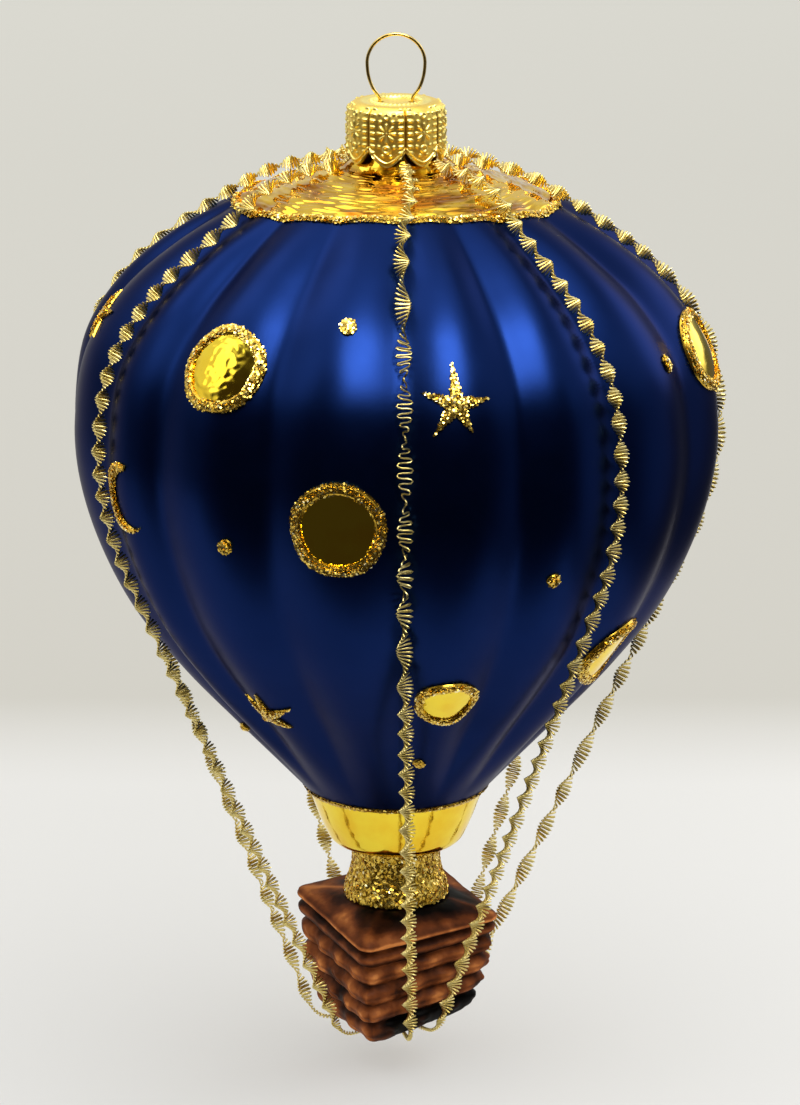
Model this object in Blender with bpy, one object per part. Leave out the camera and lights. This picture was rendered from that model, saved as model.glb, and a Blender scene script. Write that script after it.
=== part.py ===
"""Hanging glass ornament in the shape of a hot air balloon.

A mouth-blown, fluted glass balloon hangs from a crimped metal cap by a wire loop.
Crinkled wires run from under the cap, down the valleys of the flutes, to the
underside of the glass basket. Lengths are in metres and +Z is up. The origin is the
hanging point, inside the top of the wire loop. Azimuth 0 is the front (-Y), and
azimuths grow towards the right (+X). A drop is a depth below the cap's top rim.
"""

import math

import bmesh
import bpy
from mathutils import Vector

MM = 0.001
GAP = 0.35 * MM

# Wire loop and cap
LOOP_WIRE_RADIUS = 0.25 * MM
LOOP_HALF_WIDTH = 4.3 * MM
LOOP_LOWER_HALF_HEIGHT = 6.3 * MM
LOOP_CENTRE_ABOVE_RIM = 5.54 * MM
LOOP_LEG_SPACING = 2.3 * MM
CAP_HOLE_RADIUS = 0.52 * MM
CAP_WALL = 0.4 * MM
CAP_RADIUS = 7.5 * MM
CAP_TONGUES = 8
CAP_TONGUE_ROOT_DROP = 6.4 * MM
CAP_TONGUE_TIP_DROP = 9.0 * MM
CAP_NOTCH_HEIGHT = 2.4 * MM
CAP_TONGUE_CURL = 0.4 * MM
CAP_NOTCH_AZIMUTH = 11.25
CAP_PLATE_DROP = 0.7 * MM
PIVOT_DROP = CAP_PLATE_DROP + CAP_WALL / 2
RIM_Z = -(LOOP_HALF_WIDTH - LOOP_WIRE_RADIUS + LOOP_CENTRE_ABOVE_RIM)

# Blown glass
GLASS_WALL = 0.9 * MM
FLUTE_DEPTH = 1.6 * MM
FLUTE_SOFTNESS = 0.22
PIKE_TOP_DROP = 1.65 * MM
PIKE_RADIUS = 6.2 * MM
PIKE_WALL = 1.0 * MM
COLLAR_TOP_RADIUS = 13.7 * MM
BORDER_MEAN_RADIUS = 22.6 * MM
BORDER_WAVE = 1.6 * MM

# Azimuths of the valleys between the lobes, in degrees; mould-blown, so not quite even
VALLEYS = (1.5, 22.5, 41.5, 65, 90, 112, 134, 157, 178, 197, 217, 237, 257, 271, 297, 314, 337)
VALLEY_ENDS = VALLEYS + (VALLEYS[0] + 360,)

# Crest line of the lobes, in mm: (drop, radius)
BALLOON_PROFILE = (
    (9.9, 8.0), (11.0, 12.4), (12.4, 17.0), (14.9, 23.5), (20.0, 32.9), (27.0, 41.3),
    (36.0, 47.2), (47.0, 49.1), (56.0, 48.5), (66.0, 45.6), (76.0, 40.7), (86.0, 33.3),
    (95.0, 25.2), (103.0, 17.7), (107.3, 13.7),
)
# Outer face of the gold collar and of the neck under it, in mm: (drop, radius)
COLLAR_PROFILE = ((107.6, 13.5), (109.6, 12.7), (111.8, 11.7), (113.8, 10.4), (115.4, 8.8), (116.5, 7.2))
NECK_PROFILE = ((116.8, 7.0), (118.4, 6.8), (120.0, 6.9), (121.6, 7.3), (123.2, 7.9), (124.9, 8.2))
NECK_WALL = 1.2 * MM

# Basket: a rounded square, one corner turned this far to the left of the front
BASKET_CORNER_AZIMUTH = -17.0
# It sits crooked: rise in mm for each mm towards the back, and at the bottom to the right
BASKET_LEAN_FORWARD = 0.12
BASKET_LEAN_RIGHT = 0.15
# Outside, from the bottom up, in mm: (drop, half side, corner radius)
BASKET_SECTIONS = (
    (145.1, 6.9, 1.6), (144.4, 8.1, 1.8), (143.0, 9.1, 1.8), (141.7, 9.5, 1.8), (140.8, 9.2, 1.8),
    (139.8, 10.2, 2.0), (138.5, 10.6, 2.0), (137.4, 10.1, 2.0), (136.3, 10.9, 2.0), (135.0, 11.2, 2.0),
    (133.9, 10.6, 2.0), (132.8, 11.4, 2.0), (131.6, 11.6, 2.0), (130.6, 11.0, 2.0), (129.7, 11.8, 2.0),
    (128.8, 12.0, 2.0), (128.0, 11.3, 2.0), (127.3, 12.1, 2.0), (126.6, 11.8, 2.2), (125.9, 9.8, 4.4),
    (125.25, 8.1, 6.6),
)
# Inside, from the mouth down, in mm: (drop, half side, corner radius)
BASKET_HOLLOW = (
    (125.25, 6.0, 5.4), (127.8, 8.2, 3.6), (130.5, 9.2, 2.0), (141.6, 7.2, 1.4), (143.7, 5.2, 1.0),
)
BASKET_EAVE_DROP = 126.6 * MM
BASKET_ARC_POINTS = 5

# Crinkled wires, by their azimuths: (at the cap, in the valley, at the basket's foot, at the knot)
STAYS = (
    (11, 1.5, 13, 5), (56, 41.5, 40, 45), (101, 90, 100, 92), (146, 134, 121, 135),
    (187, 178, 176, 180), (213, 217, 210, 225), (240, 257, 254, 270), (281, 297, 298, 315),
)
STAY_WIDTH = 2.4 * MM
STAY_FLAT = 0.75 * MM
STAY_SIDES = 8
STAY_STEP = 4.5 * MM
STAY_START_RADIUS = 8.1 * MM
STAY_SWELL_LENGTH = 9.0 * MM
STAY_FOOT_BEND = 1.6 * MM
KNOT_RADIUS = 2.3 * MM
KNOT_HEIGHT = 1.3 * MM

# Mirror windows with a raised glitter ring: (azimuth, drop in mm, outer radius in mm)
WINDOWS = (
    (-33.6, 32.0, 6.6), (-9.8, 53.2, 7.1), (12.2, 83.2, 4.8), (77.0, 35.5, 6.4), (56.5, 79.5, 6.2),
    (112.0, 56.0, 7.2), (156.0, 38.0, 6.9), (197.5, 60.0, 7.2), (237.0, 50.0, 7.0), (197.5, 85.0, 6.0),
)
# Glitter stars, drawn by hand: (azimuth, drop in mm, and (turn in degrees, length in mm) of each arm)
STARS = (
    (10.5, 35.3, ((-1, 6.5), (81, 5.2), (152, 4.6), (219, 5.6), (295, 5.6))),
    (-80.3, 31.0, ((-19, 4.9), (70, 4.4), (137, 4.4), (200, 4.5), (253, 5.6))),
    (-37.0, 87.8, ((3, 5.0), (68, 5.5), (134, 4.4), (220, 5.4), (301, 4.4))),
    (112.0, 32.0, ((5, 5.6), (77, 4.8), (148, 4.7), (222, 4.9), (296, 5.1))),
    (156.0, 64.0, ((-22, 5.2), (48, 4.6), (126, 5.0), (195, 4.6), (270, 4.7))),
    (198.0, 34.0, ((26, 4.9), (99, 5.1), (167, 4.6), (243, 5.3), (312, 4.6))),
)
STAR_WAIST = 2.0 * MM
# Glitter crescents, open to the right: (azimuth, drop in mm, outer radius in mm)
CRESCENTS = ((-55.0, 53.8, 5.3), (112.0, 82.0, 5.2))
# Where the arcs of a crescent begin and end, in degrees clockwise from its right
CRESCENT_BACK = (55, 285)
CRESCENT_HOLLOW = (76, 264)
CRESCENT_HOLLOW_SHIFT = 0.36
CRESCENT_HOLLOW_RADIUS = 0.84
PATCH_SEAT = 0.45 * MM
MIRROR_RAISE = 0.35 * MM
RING_RAISE = 0.7 * MM
RING_SHARE = 0.24
GLITTER_RAISE = 0.65 * MM


def smooth_step(low, high, value):
    t = min(1.0, max(0.0, (value - low) / (high - low)))
    return t * t * (3 - 2 * t)


def place(azimuth, radius, drop):
    a = math.radians(azimuth)
    return Vector((radius * math.sin(a), -radius * math.cos(a), RIM_Z - drop))


# The balloon's surface


class Profile:
    """Smooth curve through (drop, radius) points, measured along their chords."""

    def __init__(self, points_mm):
        self.points = [Vector((r, d)) * MM for d, r in points_mm]
        self.stations = [0.0]
        for before, after in zip(self.points, self.points[1:]):
            self.stations.append(self.stations[-1] + (after - before).length)
        self.length = self.stations[-1]
        last = len(self.points) - 1
        self.slopes = []
        for i in range(last + 1):
            low, high = max(i - 1, 0), min(i + 1, last)
            span = self.stations[high] - self.stations[low]
            self.slopes.append((self.points[high] - self.points[low]) / span)

    def at(self, s):
        """Radius and drop at distance s."""
        k = 0
        while k < len(self.stations) - 2 and s > self.stations[k + 1]:
            k += 1
        span = self.stations[k + 1] - self.stations[k]
        t = (s - self.stations[k]) / span
        t2, t3 = t * t, t * t * t
        point = self.points[k] * (2 * t3 - 3 * t2 + 1) + self.points[k + 1] * (3 * t2 - 2 * t3)
        point += self.slopes[k] * span * (t3 - 2 * t2 + t) + self.slopes[k + 1] * span * (t3 - t2)
        return point

    def normal(self, s):
        """Outward direction at s, as (radius, drop) parts."""
        step = 0.2 * MM
        along = (self.at(s + step) - self.at(s - step)).normalized()
        return Vector((along.y, -along.x))

    def find(self, is_past, low, high):
        """Distance between low and high where is_past turns true."""
        for _ in range(40):
            middle = (low + high) / 2
            if is_past(self.at(middle)):
                high = middle
            else:
                low = middle
        return (low + high) / 2


BALLOON = Profile(BALLOON_PROFILE)
EQUATOR = BALLOON.find(lambda p: p.y > 47.0 * MM, 0.0, BALLOON.length)
COLLAR_TOP = BALLOON.length


def border_station(azimuth):
    """Where the gold crown ends: the painted edge runs lower at the sides."""
    radius = BORDER_MEAN_RADIUS - BORDER_WAVE * math.cos(2 * math.radians(azimuth))
    return BALLOON.find(lambda p: p.x > radius, 0.0, EQUATOR)


def station_at_drop(drop):
    return BALLOON.find(lambda p: p.y > drop, 0.0, BALLOON.length)


def lobe_share(azimuth):
    """0 in a valley and 1 on the crest of a lobe."""
    azimuth = (azimuth - VALLEYS[0]) % 360 + VALLEYS[0]
    k = max(i for i in range(len(VALLEYS)) if VALLEY_ENDS[i] <= azimuth)
    wave = math.sin(math.pi * (azimuth - VALLEY_ENDS[k]) / (VALLEY_ENDS[k + 1] - VALLEY_ENDS[k]))
    soft = FLUTE_SOFTNESS
    return (math.hypot(wave, soft) - soft) / (math.hypot(1, soft) - soft)


def flute_depth(s):
    radius = BALLOON.at(s).x
    if s < EQUATOR:
        return FLUTE_DEPTH * smooth_step(16 * MM, 36 * MM, radius)
    return FLUTE_DEPTH * smooth_step(COLLAR_TOP_RADIUS, 32 * MM, radius)


def balloon_point(azimuth, s, lift=0.0):
    """Point on the fluted glass, raised by lift."""
    height = lift - flute_depth(s) * (1 - lobe_share(azimuth))
    radius, drop = BALLOON.at(s) + BALLOON.normal(s) * height
    return place(azimuth, radius, drop)


def column_azimuths(per_lobe):
    """Azimuths that meet every valley and every crest."""
    return [
        start + (stop - start) * i / per_lobe
        for start, stop in zip(VALLEY_ENDS, VALLEY_ENDS[1:])
        for i in range(per_lobe)
    ]


# Mesh helpers


def quad_strip(bm, upper, lower):
    count = len(upper)
    for j in range(count):
        k = (j + 1) % count
        bm.faces.new((upper[j], lower[j], lower[k], upper[k]))


def halving_strip(bm, fine, coarse):
    """Joins a ring to one that has half as many points."""
    count = len(coarse)
    for j in range(count):
        left, middle, right = fine[2 * j], fine[2 * j + 1], fine[(2 * j + 2) % len(fine)]
        near, far = coarse[j], coarse[(j + 1) % count]
        bm.faces.new((left, middle, near))
        bm.faces.new((middle, far, near))
        bm.faces.new((middle, right, far))


def fluted_wall(outer_rows, inner_rows):
    """Glass wall with a finely divided outside and a plainer inside."""
    bm = bmesh.new()
    outer = [[bm.verts.new(p) for p in row] for row in outer_rows]
    inner = [[bm.verts.new(p) for p in row] for row in inner_rows]
    for rows in (outer, inner):
        for upper, lower in zip(rows, rows[1:]):
            quad_strip(bm, upper, lower)
    halving_strip(bm, outer[0], inner[0])
    halving_strip(bm, outer[-1], inner[-1])
    return bm


def loft(loops, ring=False):
    """Skin over loops of equal counts, with end faces, or closed into a ring."""
    bm = bmesh.new()
    rows = [[bm.verts.new(p) for p in loop] for loop in loops]
    for upper, lower in zip(rows, rows[1:]):
        quad_strip(bm, upper, lower)
    if ring:
        quad_strip(bm, rows[-1], rows[0])
    else:
        bm.faces.new(rows[0])
        bm.faces.new(rows[-1])
    return bm


def turned(profile, columns, ring=False):
    """Loft of plain circles, from (drop, radius) pairs in metres."""
    step = 360 / columns
    return loft([[place(j * step, r, d) for j in range(columns)] for d, r in profile], ring)


def add_piece(name, bm, material, sharp_degrees=40):
    bmesh.ops.recalc_face_normals(bm, faces=bm.faces)
    mesh = bpy.data.meshes.new(name)
    bm.to_mesh(mesh)
    bm.free()
    mesh.shade_smooth()
    mesh.set_sharp_from_angle(angle=math.radians(sharp_degrees))
    mesh.materials.append(material)
    piece = bpy.data.objects.new(name, mesh)
    bpy.context.collection.objects.link(piece)
    return piece


def make_material(name, colour, roughness, metallic):
    material = bpy.data.materials.new(name)
    material.use_nodes = True
    shader = material.node_tree.nodes["Principled BSDF"]
    shader.inputs["Base Color"].default_value = (*colour, 1)
    shader.inputs["Roughness"].default_value = roughness
    shader.inputs["Metallic"].default_value = metallic
    return material


# Metal cap and wire loop


def cap_edge_drop(azimuth):
    """Lower edge of the cap: rounded tongues between V-shaped notches."""
    pitch = 360 / CAP_TONGUES
    offset = abs((azimuth - CAP_NOTCH_AZIMUTH + pitch / 2) % pitch - pitch / 2)
    return CAP_TONGUE_TIP_DROP - CAP_NOTCH_HEIGHT * (1 - offset / (pitch / 2)) ** 1.6


def cap_skirt_loop(azimuths, share, inset):
    """Loop at a share of the way from the tongues' roots to their edge."""
    loop = []
    for azimuth in azimuths:
        drop = CAP_TONGUE_ROOT_DROP + share * (cap_edge_drop(azimuth) - CAP_TONGUE_ROOT_DROP)
        bend = (drop - CAP_TONGUE_ROOT_DROP) / (CAP_TONGUE_TIP_DROP - CAP_TONGUE_ROOT_DROP)
        loop.append(place(azimuth, CAP_RADIUS - inset - CAP_TONGUE_CURL * bend ** 2, drop))
    return loop


def build_cap(material):
    columns = 64
    azimuths = [360 * j / columns for j in range(columns)]
    # Outside, from the recessed middle of the top to the skirt, in mm: (drop, radius)
    outside = ((0.7, 2.95), (0.05, 3.4), (0.0, 5.4), (0.05, 6.1), (0.8, 7.1), (1.9, 7.45))
    # Inside, from the skirt back to the middle, in mm: (drop, radius)
    inside = ((1.9, 7.05), (1.25, 6.8), (1.15, 3.4), (1.1, 2.75))
    loops = [[place(a, r * MM, d * MM) for a in azimuths] for d, r in outside]
    loops += [cap_skirt_loop(azimuths, share, 0.0) for share in (0.0, 0.5, 1.0)]
    loops += [cap_skirt_loop(azimuths, share, CAP_WALL) for share in (1.0, 0.5, 0.0)]
    loops += [[place(a, r * MM, d * MM) for a in azimuths] for d, r in inside]
    cap = add_piece("cap", loft(loops), material)
    cutters = bmesh.new()
    for side in (-1, 1):
        made = bmesh.ops.create_cone(
            cutters, cap_ends=True, segments=12,
            radius1=CAP_HOLE_RADIUS, radius2=CAP_HOLE_RADIUS, depth=4 * CAP_WALL,
        )
        middle = Vector((side * LOOP_LEG_SPACING, 0, RIM_Z - PIVOT_DROP))
        bmesh.ops.translate(cutters, verts=made["verts"], vec=middle)
    drill = add_piece("cap_drill", cutters, material)
    drill.hide_render = True
    drill.display_type = "WIRE"
    holes = cap.modifiers.new("leg_holes", "BOOLEAN")
    holes.operation = "DIFFERENCE"
    holes.solver = "EXACT"
    holes.object = drill


def loop_route():
    """Right half of the loop from its top to the leg's tip, then the whole wire."""
    half = []
    for i in range(9):
        a = math.radians(90 - i * 90 / 8)
        half.append((LOOP_HALF_WIDTH * math.cos(a), LOOP_CENTRE_ABOVE_RIM + LOOP_HALF_WIDTH * math.sin(a)))
    for degrees in (14, 27, 40, 54):
        a = math.radians(degrees)
        x = LOOP_HALF_WIDTH * math.cos(a)
        half.append((x, LOOP_CENTRE_ABOVE_RIM - LOOP_LOWER_HALF_HEIGHT * math.sin(a)))
    x = LOOP_LEG_SPACING
    for dx, height in ((0.05, -0.3), (0.0, -0.9), (0.05, -1.6), (0.35, -2.9), (0.9, -4.7), (1.5, -6.9)):
        half.append((x + dx * MM, height * MM))
    whole = [(-x, z) for x, z in reversed(half[1:])] + half
    return [Vector((x, 0, RIM_Z + z)) for x, z in whole]


def build_loop(material):
    sides = 8
    route = loop_route()
    loops = []
    for i, centre in enumerate(route):
        before, after = route[max(i - 1, 0)], route[min(i + 1, len(route) - 1)]
        along = (after - before).normalized()
        across = along.cross(Vector((0, 1, 0)))
        loop = []
        for j in range(sides):
            turn = 2 * math.pi * j / sides
            ray = across * math.cos(turn) + Vector((0, math.sin(turn), 0))
            loop.append(centre + ray * LOOP_WIRE_RADIUS)
        loops.append(loop)
    add_piece("hanger_loop", loft(loops), material)


# Blown glass pieces


def rows_between(upper, lower, count):
    """Stations of count + 1 rows between two edges that vary with the azimuth."""
    return [lambda a, t=i / count: upper(a) + t * (lower(a) - upper(a)) for i in range(count + 1)]


def inner_point(azimuth, s):
    """Inside face: clear of the deepest valley by the glass wall."""
    radius, drop = BALLOON.at(s) - BALLOON.normal(s) * (flute_depth(s) + GLASS_WALL)
    return place(azimuth, radius, drop)


def build_crown(material):
    fine = column_azimuths(6)
    coarse = fine[::2]

    def edge(azimuth):
        return border_station(azimuth) - GAP / 2

    rows = rows_between(lambda a: 0.0, edge, 5)
    outer = [[place(a, PIKE_RADIUS, PIKE_TOP_DROP) for a in fine]]
    outer.append([place(a, PIKE_RADIUS, 8.6 * MM) for a in fine])
    outer += [[balloon_point(a, station(a)) for a in fine] for station in rows]
    inner = [[place(a, PIKE_RADIUS - PIKE_WALL, PIKE_TOP_DROP) for a in coarse]]
    inner.append([place(a, PIKE_RADIUS - PIKE_WALL, 10.6 * MM) for a in coarse])
    inner += [[inner_point(a, station(a)) for a in coarse] for station in rows[2::3]]
    add_piece("crown_glass", fluted_wall(outer, inner), material)


def build_envelope(material):
    fine = column_azimuths(6)
    coarse = fine[::2]

    def top(azimuth):
        return border_station(azimuth) + GAP / 2

    def bottom(azimuth):
        return COLLAR_TOP

    outer = [[balloon_point(a, s(a)) for a in fine] for s in rows_between(top, bottom, 15)]
    inner = [[inner_point(a, s(a)) for a in coarse] for s in rows_between(top, bottom, 8)]
    add_piece("envelope_glass", fluted_wall(outer, inner), material)


def build_tube(name, profile_mm, wall, columns, material):
    outer = [(d * MM, r * MM) for d, r in profile_mm]
    inner = [(d, r - wall) for d, r in reversed(outer)]
    add_piece(name, turned(outer + inner, columns, ring=True), material)


def leaned(point, drop):
    """A point of the basket, moved up or down by its lean. The joint with the neck stays level."""
    top, bottom = BASKET_SECTIONS[-1][0] * MM, BASKET_SECTIONS[0][0] * MM
    below_top = min(1.0, max(0.0, (drop - top) / (BASKET_EAVE_DROP - top)))
    below_eave = min(1.0, max(0.0, (drop - BASKET_EAVE_DROP) / (bottom - BASKET_EAVE_DROP)))
    rise = BASKET_LEAN_FORWARD * point.y * below_top + BASKET_LEAN_RIGHT * point.x * below_eave
    return point + Vector((0, 0, rise))


def basket_loop(drop, half_side, corner_radius):
    """Rounded square, with an arc at each corner."""
    loop = []
    reach = half_side - corner_radius
    for corner in range(4):
        for i in range(BASKET_ARC_POINTS):
            sweep = math.radians(90 * corner + 90 * i / (BASKET_ARC_POINTS - 1) - 45)
            diagonal = math.radians(90 * corner)
            x = reach * math.sqrt(2) * math.sin(diagonal) + corner_radius * math.sin(sweep)
            y = reach * math.sqrt(2) * math.cos(diagonal) + corner_radius * math.cos(sweep)
            azimuth = math.degrees(math.atan2(x, y)) + BASKET_CORNER_AZIMUTH
            loop.append(leaned(place(azimuth, math.hypot(x, y) * MM, drop * MM), drop * MM))
    return loop


def basket_reach(azimuth, half_side):
    """Distance from the axis to a basket wall, as if its corners were sharp."""
    from_face = abs((azimuth - BASKET_CORNER_AZIMUTH) % 90 - 45)
    return half_side * MM / math.cos(math.radians(from_face))


def build_basket(material):
    loops = [basket_loop(*section) for section in BASKET_SECTIONS + BASKET_HOLLOW]
    add_piece("basket", loft(loops), material, sharp_degrees=50)


# Crinkled wires


FOOT_DROP = BASKET_SECTIONS[0][0] * MM + GAP + STAY_FLAT / 2


def foot_point(azimuth, radius):
    """Middle of a wire under the basket's bottom."""
    return leaned(place(azimuth, radius, FOOT_DROP), FOOT_DROP)


def contact_place(s):
    """Radius and drop of the middle of a wire that lies in a valley at station s."""
    lift = GAP + STAY_WIDTH / 2 - flute_depth(s)
    return BALLOON.at(s) + BALLOON.normal(s) * lift


def leaving_station(end_radius, end_drop):
    """Where a straight run to the basket's foot leaves the glass."""
    best, best_slope = 0.0, -1e9
    s = EQUATOR
    while s < COLLAR_TOP - 20 * MM:
        radius, drop = contact_place(s)
        slope = (radius - end_radius) / (end_drop - drop)
        if slope > best_slope:
            best, best_slope = s, slope
        s += 0.5 * MM
    return best


def foot_radius(azimuth):
    """Smallest foot radius whose straight run clears every row of the basket."""
    lowest = basket_reach(azimuth, BASKET_SECTIONS[0][1]) + STAY_FOOT_BEND
    foot_drop = RIM_Z - foot_point(azimuth, lowest).z
    top_radius, top_drop = contact_place(leaving_station(lowest, foot_drop))
    needed = lowest
    for drop, half_side, _ in BASKET_SECTIONS[1:]:
        reach = basket_reach(azimuth, half_side)
        level = RIM_Z - leaned(place(azimuth, reach, drop * MM), drop * MM).z
        clear = reach + GAP + STAY_WIDTH / 2
        share = (foot_drop - top_drop) / (level - top_drop)
        needed = max(needed, top_radius + (clear - top_radius) * share)
    return needed


def spaced(start, stop, step):
    count = max(1, round((stop - start) / step))
    return [start + (stop - start) * i / count for i in range(count + 1)]


def stay_route(cap, valley, foot, knot):
    """Middle line of one wire with its half thickness at each point."""
    start = BALLOON.find(lambda p: p.x > STAY_START_RADIUS, 0.0, EQUATOR)
    radius = foot_radius(foot)
    corner = foot_point(foot, radius)
    leave = leaving_station(radius, RIM_Z - corner.z)
    route = []
    for s in spaced(start, leave, STAY_STEP):
        swell = smooth_step(0.0, STAY_SWELL_LENGTH, s - start)
        half = (STAY_FLAT + (STAY_WIDTH - STAY_FLAT) * swell) / 2
        azimuth = cap + (valley - cap) * smooth_step(0.0, 22 * MM, s - start)
        route.append((balloon_point(azimuth, s, GAP + half), half))
    top = route[-1][0]
    run = (corner - top).length
    for distance in spaced(0.0, run - STAY_FOOT_BEND, STAY_STEP)[1:]:
        flat = smooth_step(run - 5 * STAY_WIDTH, run - STAY_FOOT_BEND, distance)
        half = (STAY_WIDTH + (STAY_FLAT - STAY_WIDTH) * flat) / 2
        route.append((top.lerp(corner, distance / run), half))
    inner_end = foot_point(knot, KNOT_RADIUS + GAP)
    under = (inner_end - corner).normalized()
    route.append((corner + under * STAY_FOOT_BEND, STAY_FLAT / 2))
    route.append((inner_end, STAY_FLAT / 2))
    return route


def build_stay(name, stay, material):
    route = stay_route(*stay)
    last = len(route) - 1
    loops = []
    for i, (centre, half) in enumerate(route):
        along = (route[min(i + 1, last)][0] - route[max(i - 1, 0)][0]).normalized()
        azimuth = math.atan2(centre.x, -centre.y)
        across = Vector((math.cos(azimuth), math.sin(azimuth), 0))
        across = (across - along * across.dot(along)).normalized()
        upward = across.cross(along)
        width = STAY_WIDTH / 2 if i < last else STAY_FLAT / 2
        loop = []
        for j in range(STAY_SIDES):
            turn = 2 * math.pi * j / STAY_SIDES
            loop.append(centre + across * width * math.cos(turn) + upward * half * math.sin(turn))
        loops.append(loop)
    add_piece(name, loft(loops), material, sharp_degrees=70)


def build_knot(material):
    top = FOOT_DROP - KNOT_HEIGHT / 2 + STAY_FLAT / 4
    loops = []
    for share, width in ((0.0, 0.75), (0.25, 1.0), (0.75, 1.0), (1.0, 0.75)):
        drop = top + share * KNOT_HEIGHT
        loops.append([leaned(place(22.5 * j, width * KNOT_RADIUS, drop), FOOT_DROP) for j in range(16)])
    add_piece("stay_knot", loft(loops), material)


# Decoration that lies on the glass


def patch_point(azimuth, s, right, down, lift):
    """Point on the glass, right and down from a middle point, raised by lift."""
    station = s + down
    turn = math.degrees(right / BALLOON.at(station).x)
    return balloon_point(azimuth + turn, station, lift)


def build_window(name, azimuth, drop, radius, material):
    sides = 16
    s = station_at_drop(drop * MM)
    edge = radius * MM
    inside = edge * (1 - RING_SHARE)
    # Rings from the middle of the back to the middle of the face: (radius, lift)
    rings = (
        (0.5 * inside, PATCH_SEAT), (edge, PATCH_SEAT),
        (edge - 0.15 * MM, PATCH_SEAT + RING_RAISE), (inside + 0.2 * MM, PATCH_SEAT + RING_RAISE),
        (inside, PATCH_SEAT + MIRROR_RAISE), (0.5 * inside, PATCH_SEAT + MIRROR_RAISE),
    )
    loops = []
    for ring, lift in rings:
        turns = [2 * math.pi * j / sides for j in range(sides)]
        loops.append([patch_point(azimuth, s, ring * math.sin(t), ring * math.cos(t), lift) for t in turns])
    bm = loft(loops)
    bmesh.ops.poke(bm, faces=[f for f in bm.faces if len(f.verts) > 4])
    add_piece(name, bm, material, sharp_degrees=30)


def outline_plate(outline, middle_line):
    """Thin plate from (right, down) pairs; middle_line pairs close its two faces."""
    bm = bmesh.new()
    back = [bm.verts.new(p) for p, _ in outline]
    front = [bm.verts.new(p) for _, p in outline]
    quad_strip(bm, front, back)
    for ring in (back, front):
        middle_line(bm, ring)
    return bm


def build_star(name, azimuth, drop, arms, material):
    s = station_at_drop(drop * MM)
    corners = []
    for (turn, length), (next_turn, _) in zip(arms, arms[1:] + ((arms[0][0] + 360, 0),)):
        corners += [(turn, length * MM), ((turn + next_turn) / 2, STAR_WAIST)]
    outline = []
    for turn, reach in corners:
        a = math.radians(turn)
        right, down = reach * math.sin(a), -reach * math.cos(a)
        outline.append([
            patch_point(azimuth, s, right, down, lift) for lift in (PATCH_SEAT, PATCH_SEAT + GLITTER_RAISE)
        ])
    middles = [patch_point(azimuth, s, 0, 0, lift) for lift in (PATCH_SEAT, PATCH_SEAT + GLITTER_RAISE)]

    def fan(bm, ring):
        middle = bm.verts.new(middles.pop(0))
        for j in range(len(ring)):
            bm.faces.new((ring[j], ring[(j + 1) % len(ring)], middle))

    add_piece(name, outline_plate(outline, fan), material, sharp_degrees=30)


def build_crescent(name, azimuth, drop, radius, material):
    steps = 10
    s = station_at_drop(drop * MM)
    # The moon's back is an arc about the middle; its hollow is an arc drawn further right
    pairs = []
    for i in range(steps + 1):
        a = math.radians(CRESCENT_BACK[0] + (CRESCENT_BACK[1] - CRESCENT_BACK[0]) * i / steps)
        pairs.append((radius * math.cos(a), radius * math.sin(a)))
    for i in range(steps - 1, 0, -1):
        a = math.radians(CRESCENT_HOLLOW[0] + (CRESCENT_HOLLOW[1] - CRESCENT_HOLLOW[0]) * i / steps)
        reach = CRESCENT_HOLLOW_RADIUS * radius
        pairs.append((CRESCENT_HOLLOW_SHIFT * radius + reach * math.cos(a), reach * math.sin(a)))
    outline = []
    for right, down in pairs:
        outline.append([
            patch_point(azimuth, s, right * MM, down * MM, lift)
            for lift in (PATCH_SEAT, PATCH_SEAT + GLITTER_RAISE)
        ])

    def ladder(bm, ring):
        count = len(ring)
        bm.faces.new((ring[0], ring[1], ring[count - 1]))
        for j in range(1, steps - 1):
            bm.faces.new((ring[j], ring[j + 1], ring[count - j - 1], ring[count - j]))
        bm.faces.new((ring[steps - 1], ring[steps], ring[steps + 1]))

    add_piece(name, outline_plate(outline, ladder), material, sharp_degrees=30)


def build_ornament():
    for old in list(bpy.data.objects):
        bpy.data.objects.remove(old)
    cap_gold = make_material("cap_gold", (0.85, 0.58, 0.14), 0.28, 1.0)
    wire_gold = make_material("wire_gold", (0.80, 0.62, 0.22), 0.35, 1.0)
    mirror_gold = make_material("mirror_gold", (0.95, 0.62, 0.12), 0.08, 1.0)
    blue_lacquer = make_material("blue_lacquer", (0.010, 0.022, 0.16), 0.42, 0.35)
    gold_glitter = make_material("gold_glitter", (0.78, 0.52, 0.12), 0.45, 0.9)
    basket_brown = make_material("basket_brown", (0.16, 0.05, 0.02), 0.4, 0.0)

    build_loop(cap_gold)
    build_cap(cap_gold)
    build_crown(mirror_gold)
    build_envelope(blue_lacquer)
    build_tube("mouth_collar", COLLAR_PROFILE, GLASS_WALL, 48, mirror_gold)
    build_tube("burner_neck", NECK_PROFILE, NECK_WALL, 32, gold_glitter)
    build_basket(basket_brown)
    for number, stay in enumerate(STAYS, start=1):
        build_stay(f"stay_{number}", stay, wire_gold)
    build_knot(wire_gold)
    for number, window in enumerate(WINDOWS, start=1):
        build_window(f"window_{number:02d}", *window, mirror_gold)
    for number, star in enumerate(STARS, start=1):
        build_star(f"star_{number}", *star, gold_glitter)
    for number, crescent in enumerate(CRESCENTS, start=1):
        build_crescent(f"crescent_{number}", *crescent, gold_glitter)


build_ornament()
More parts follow.
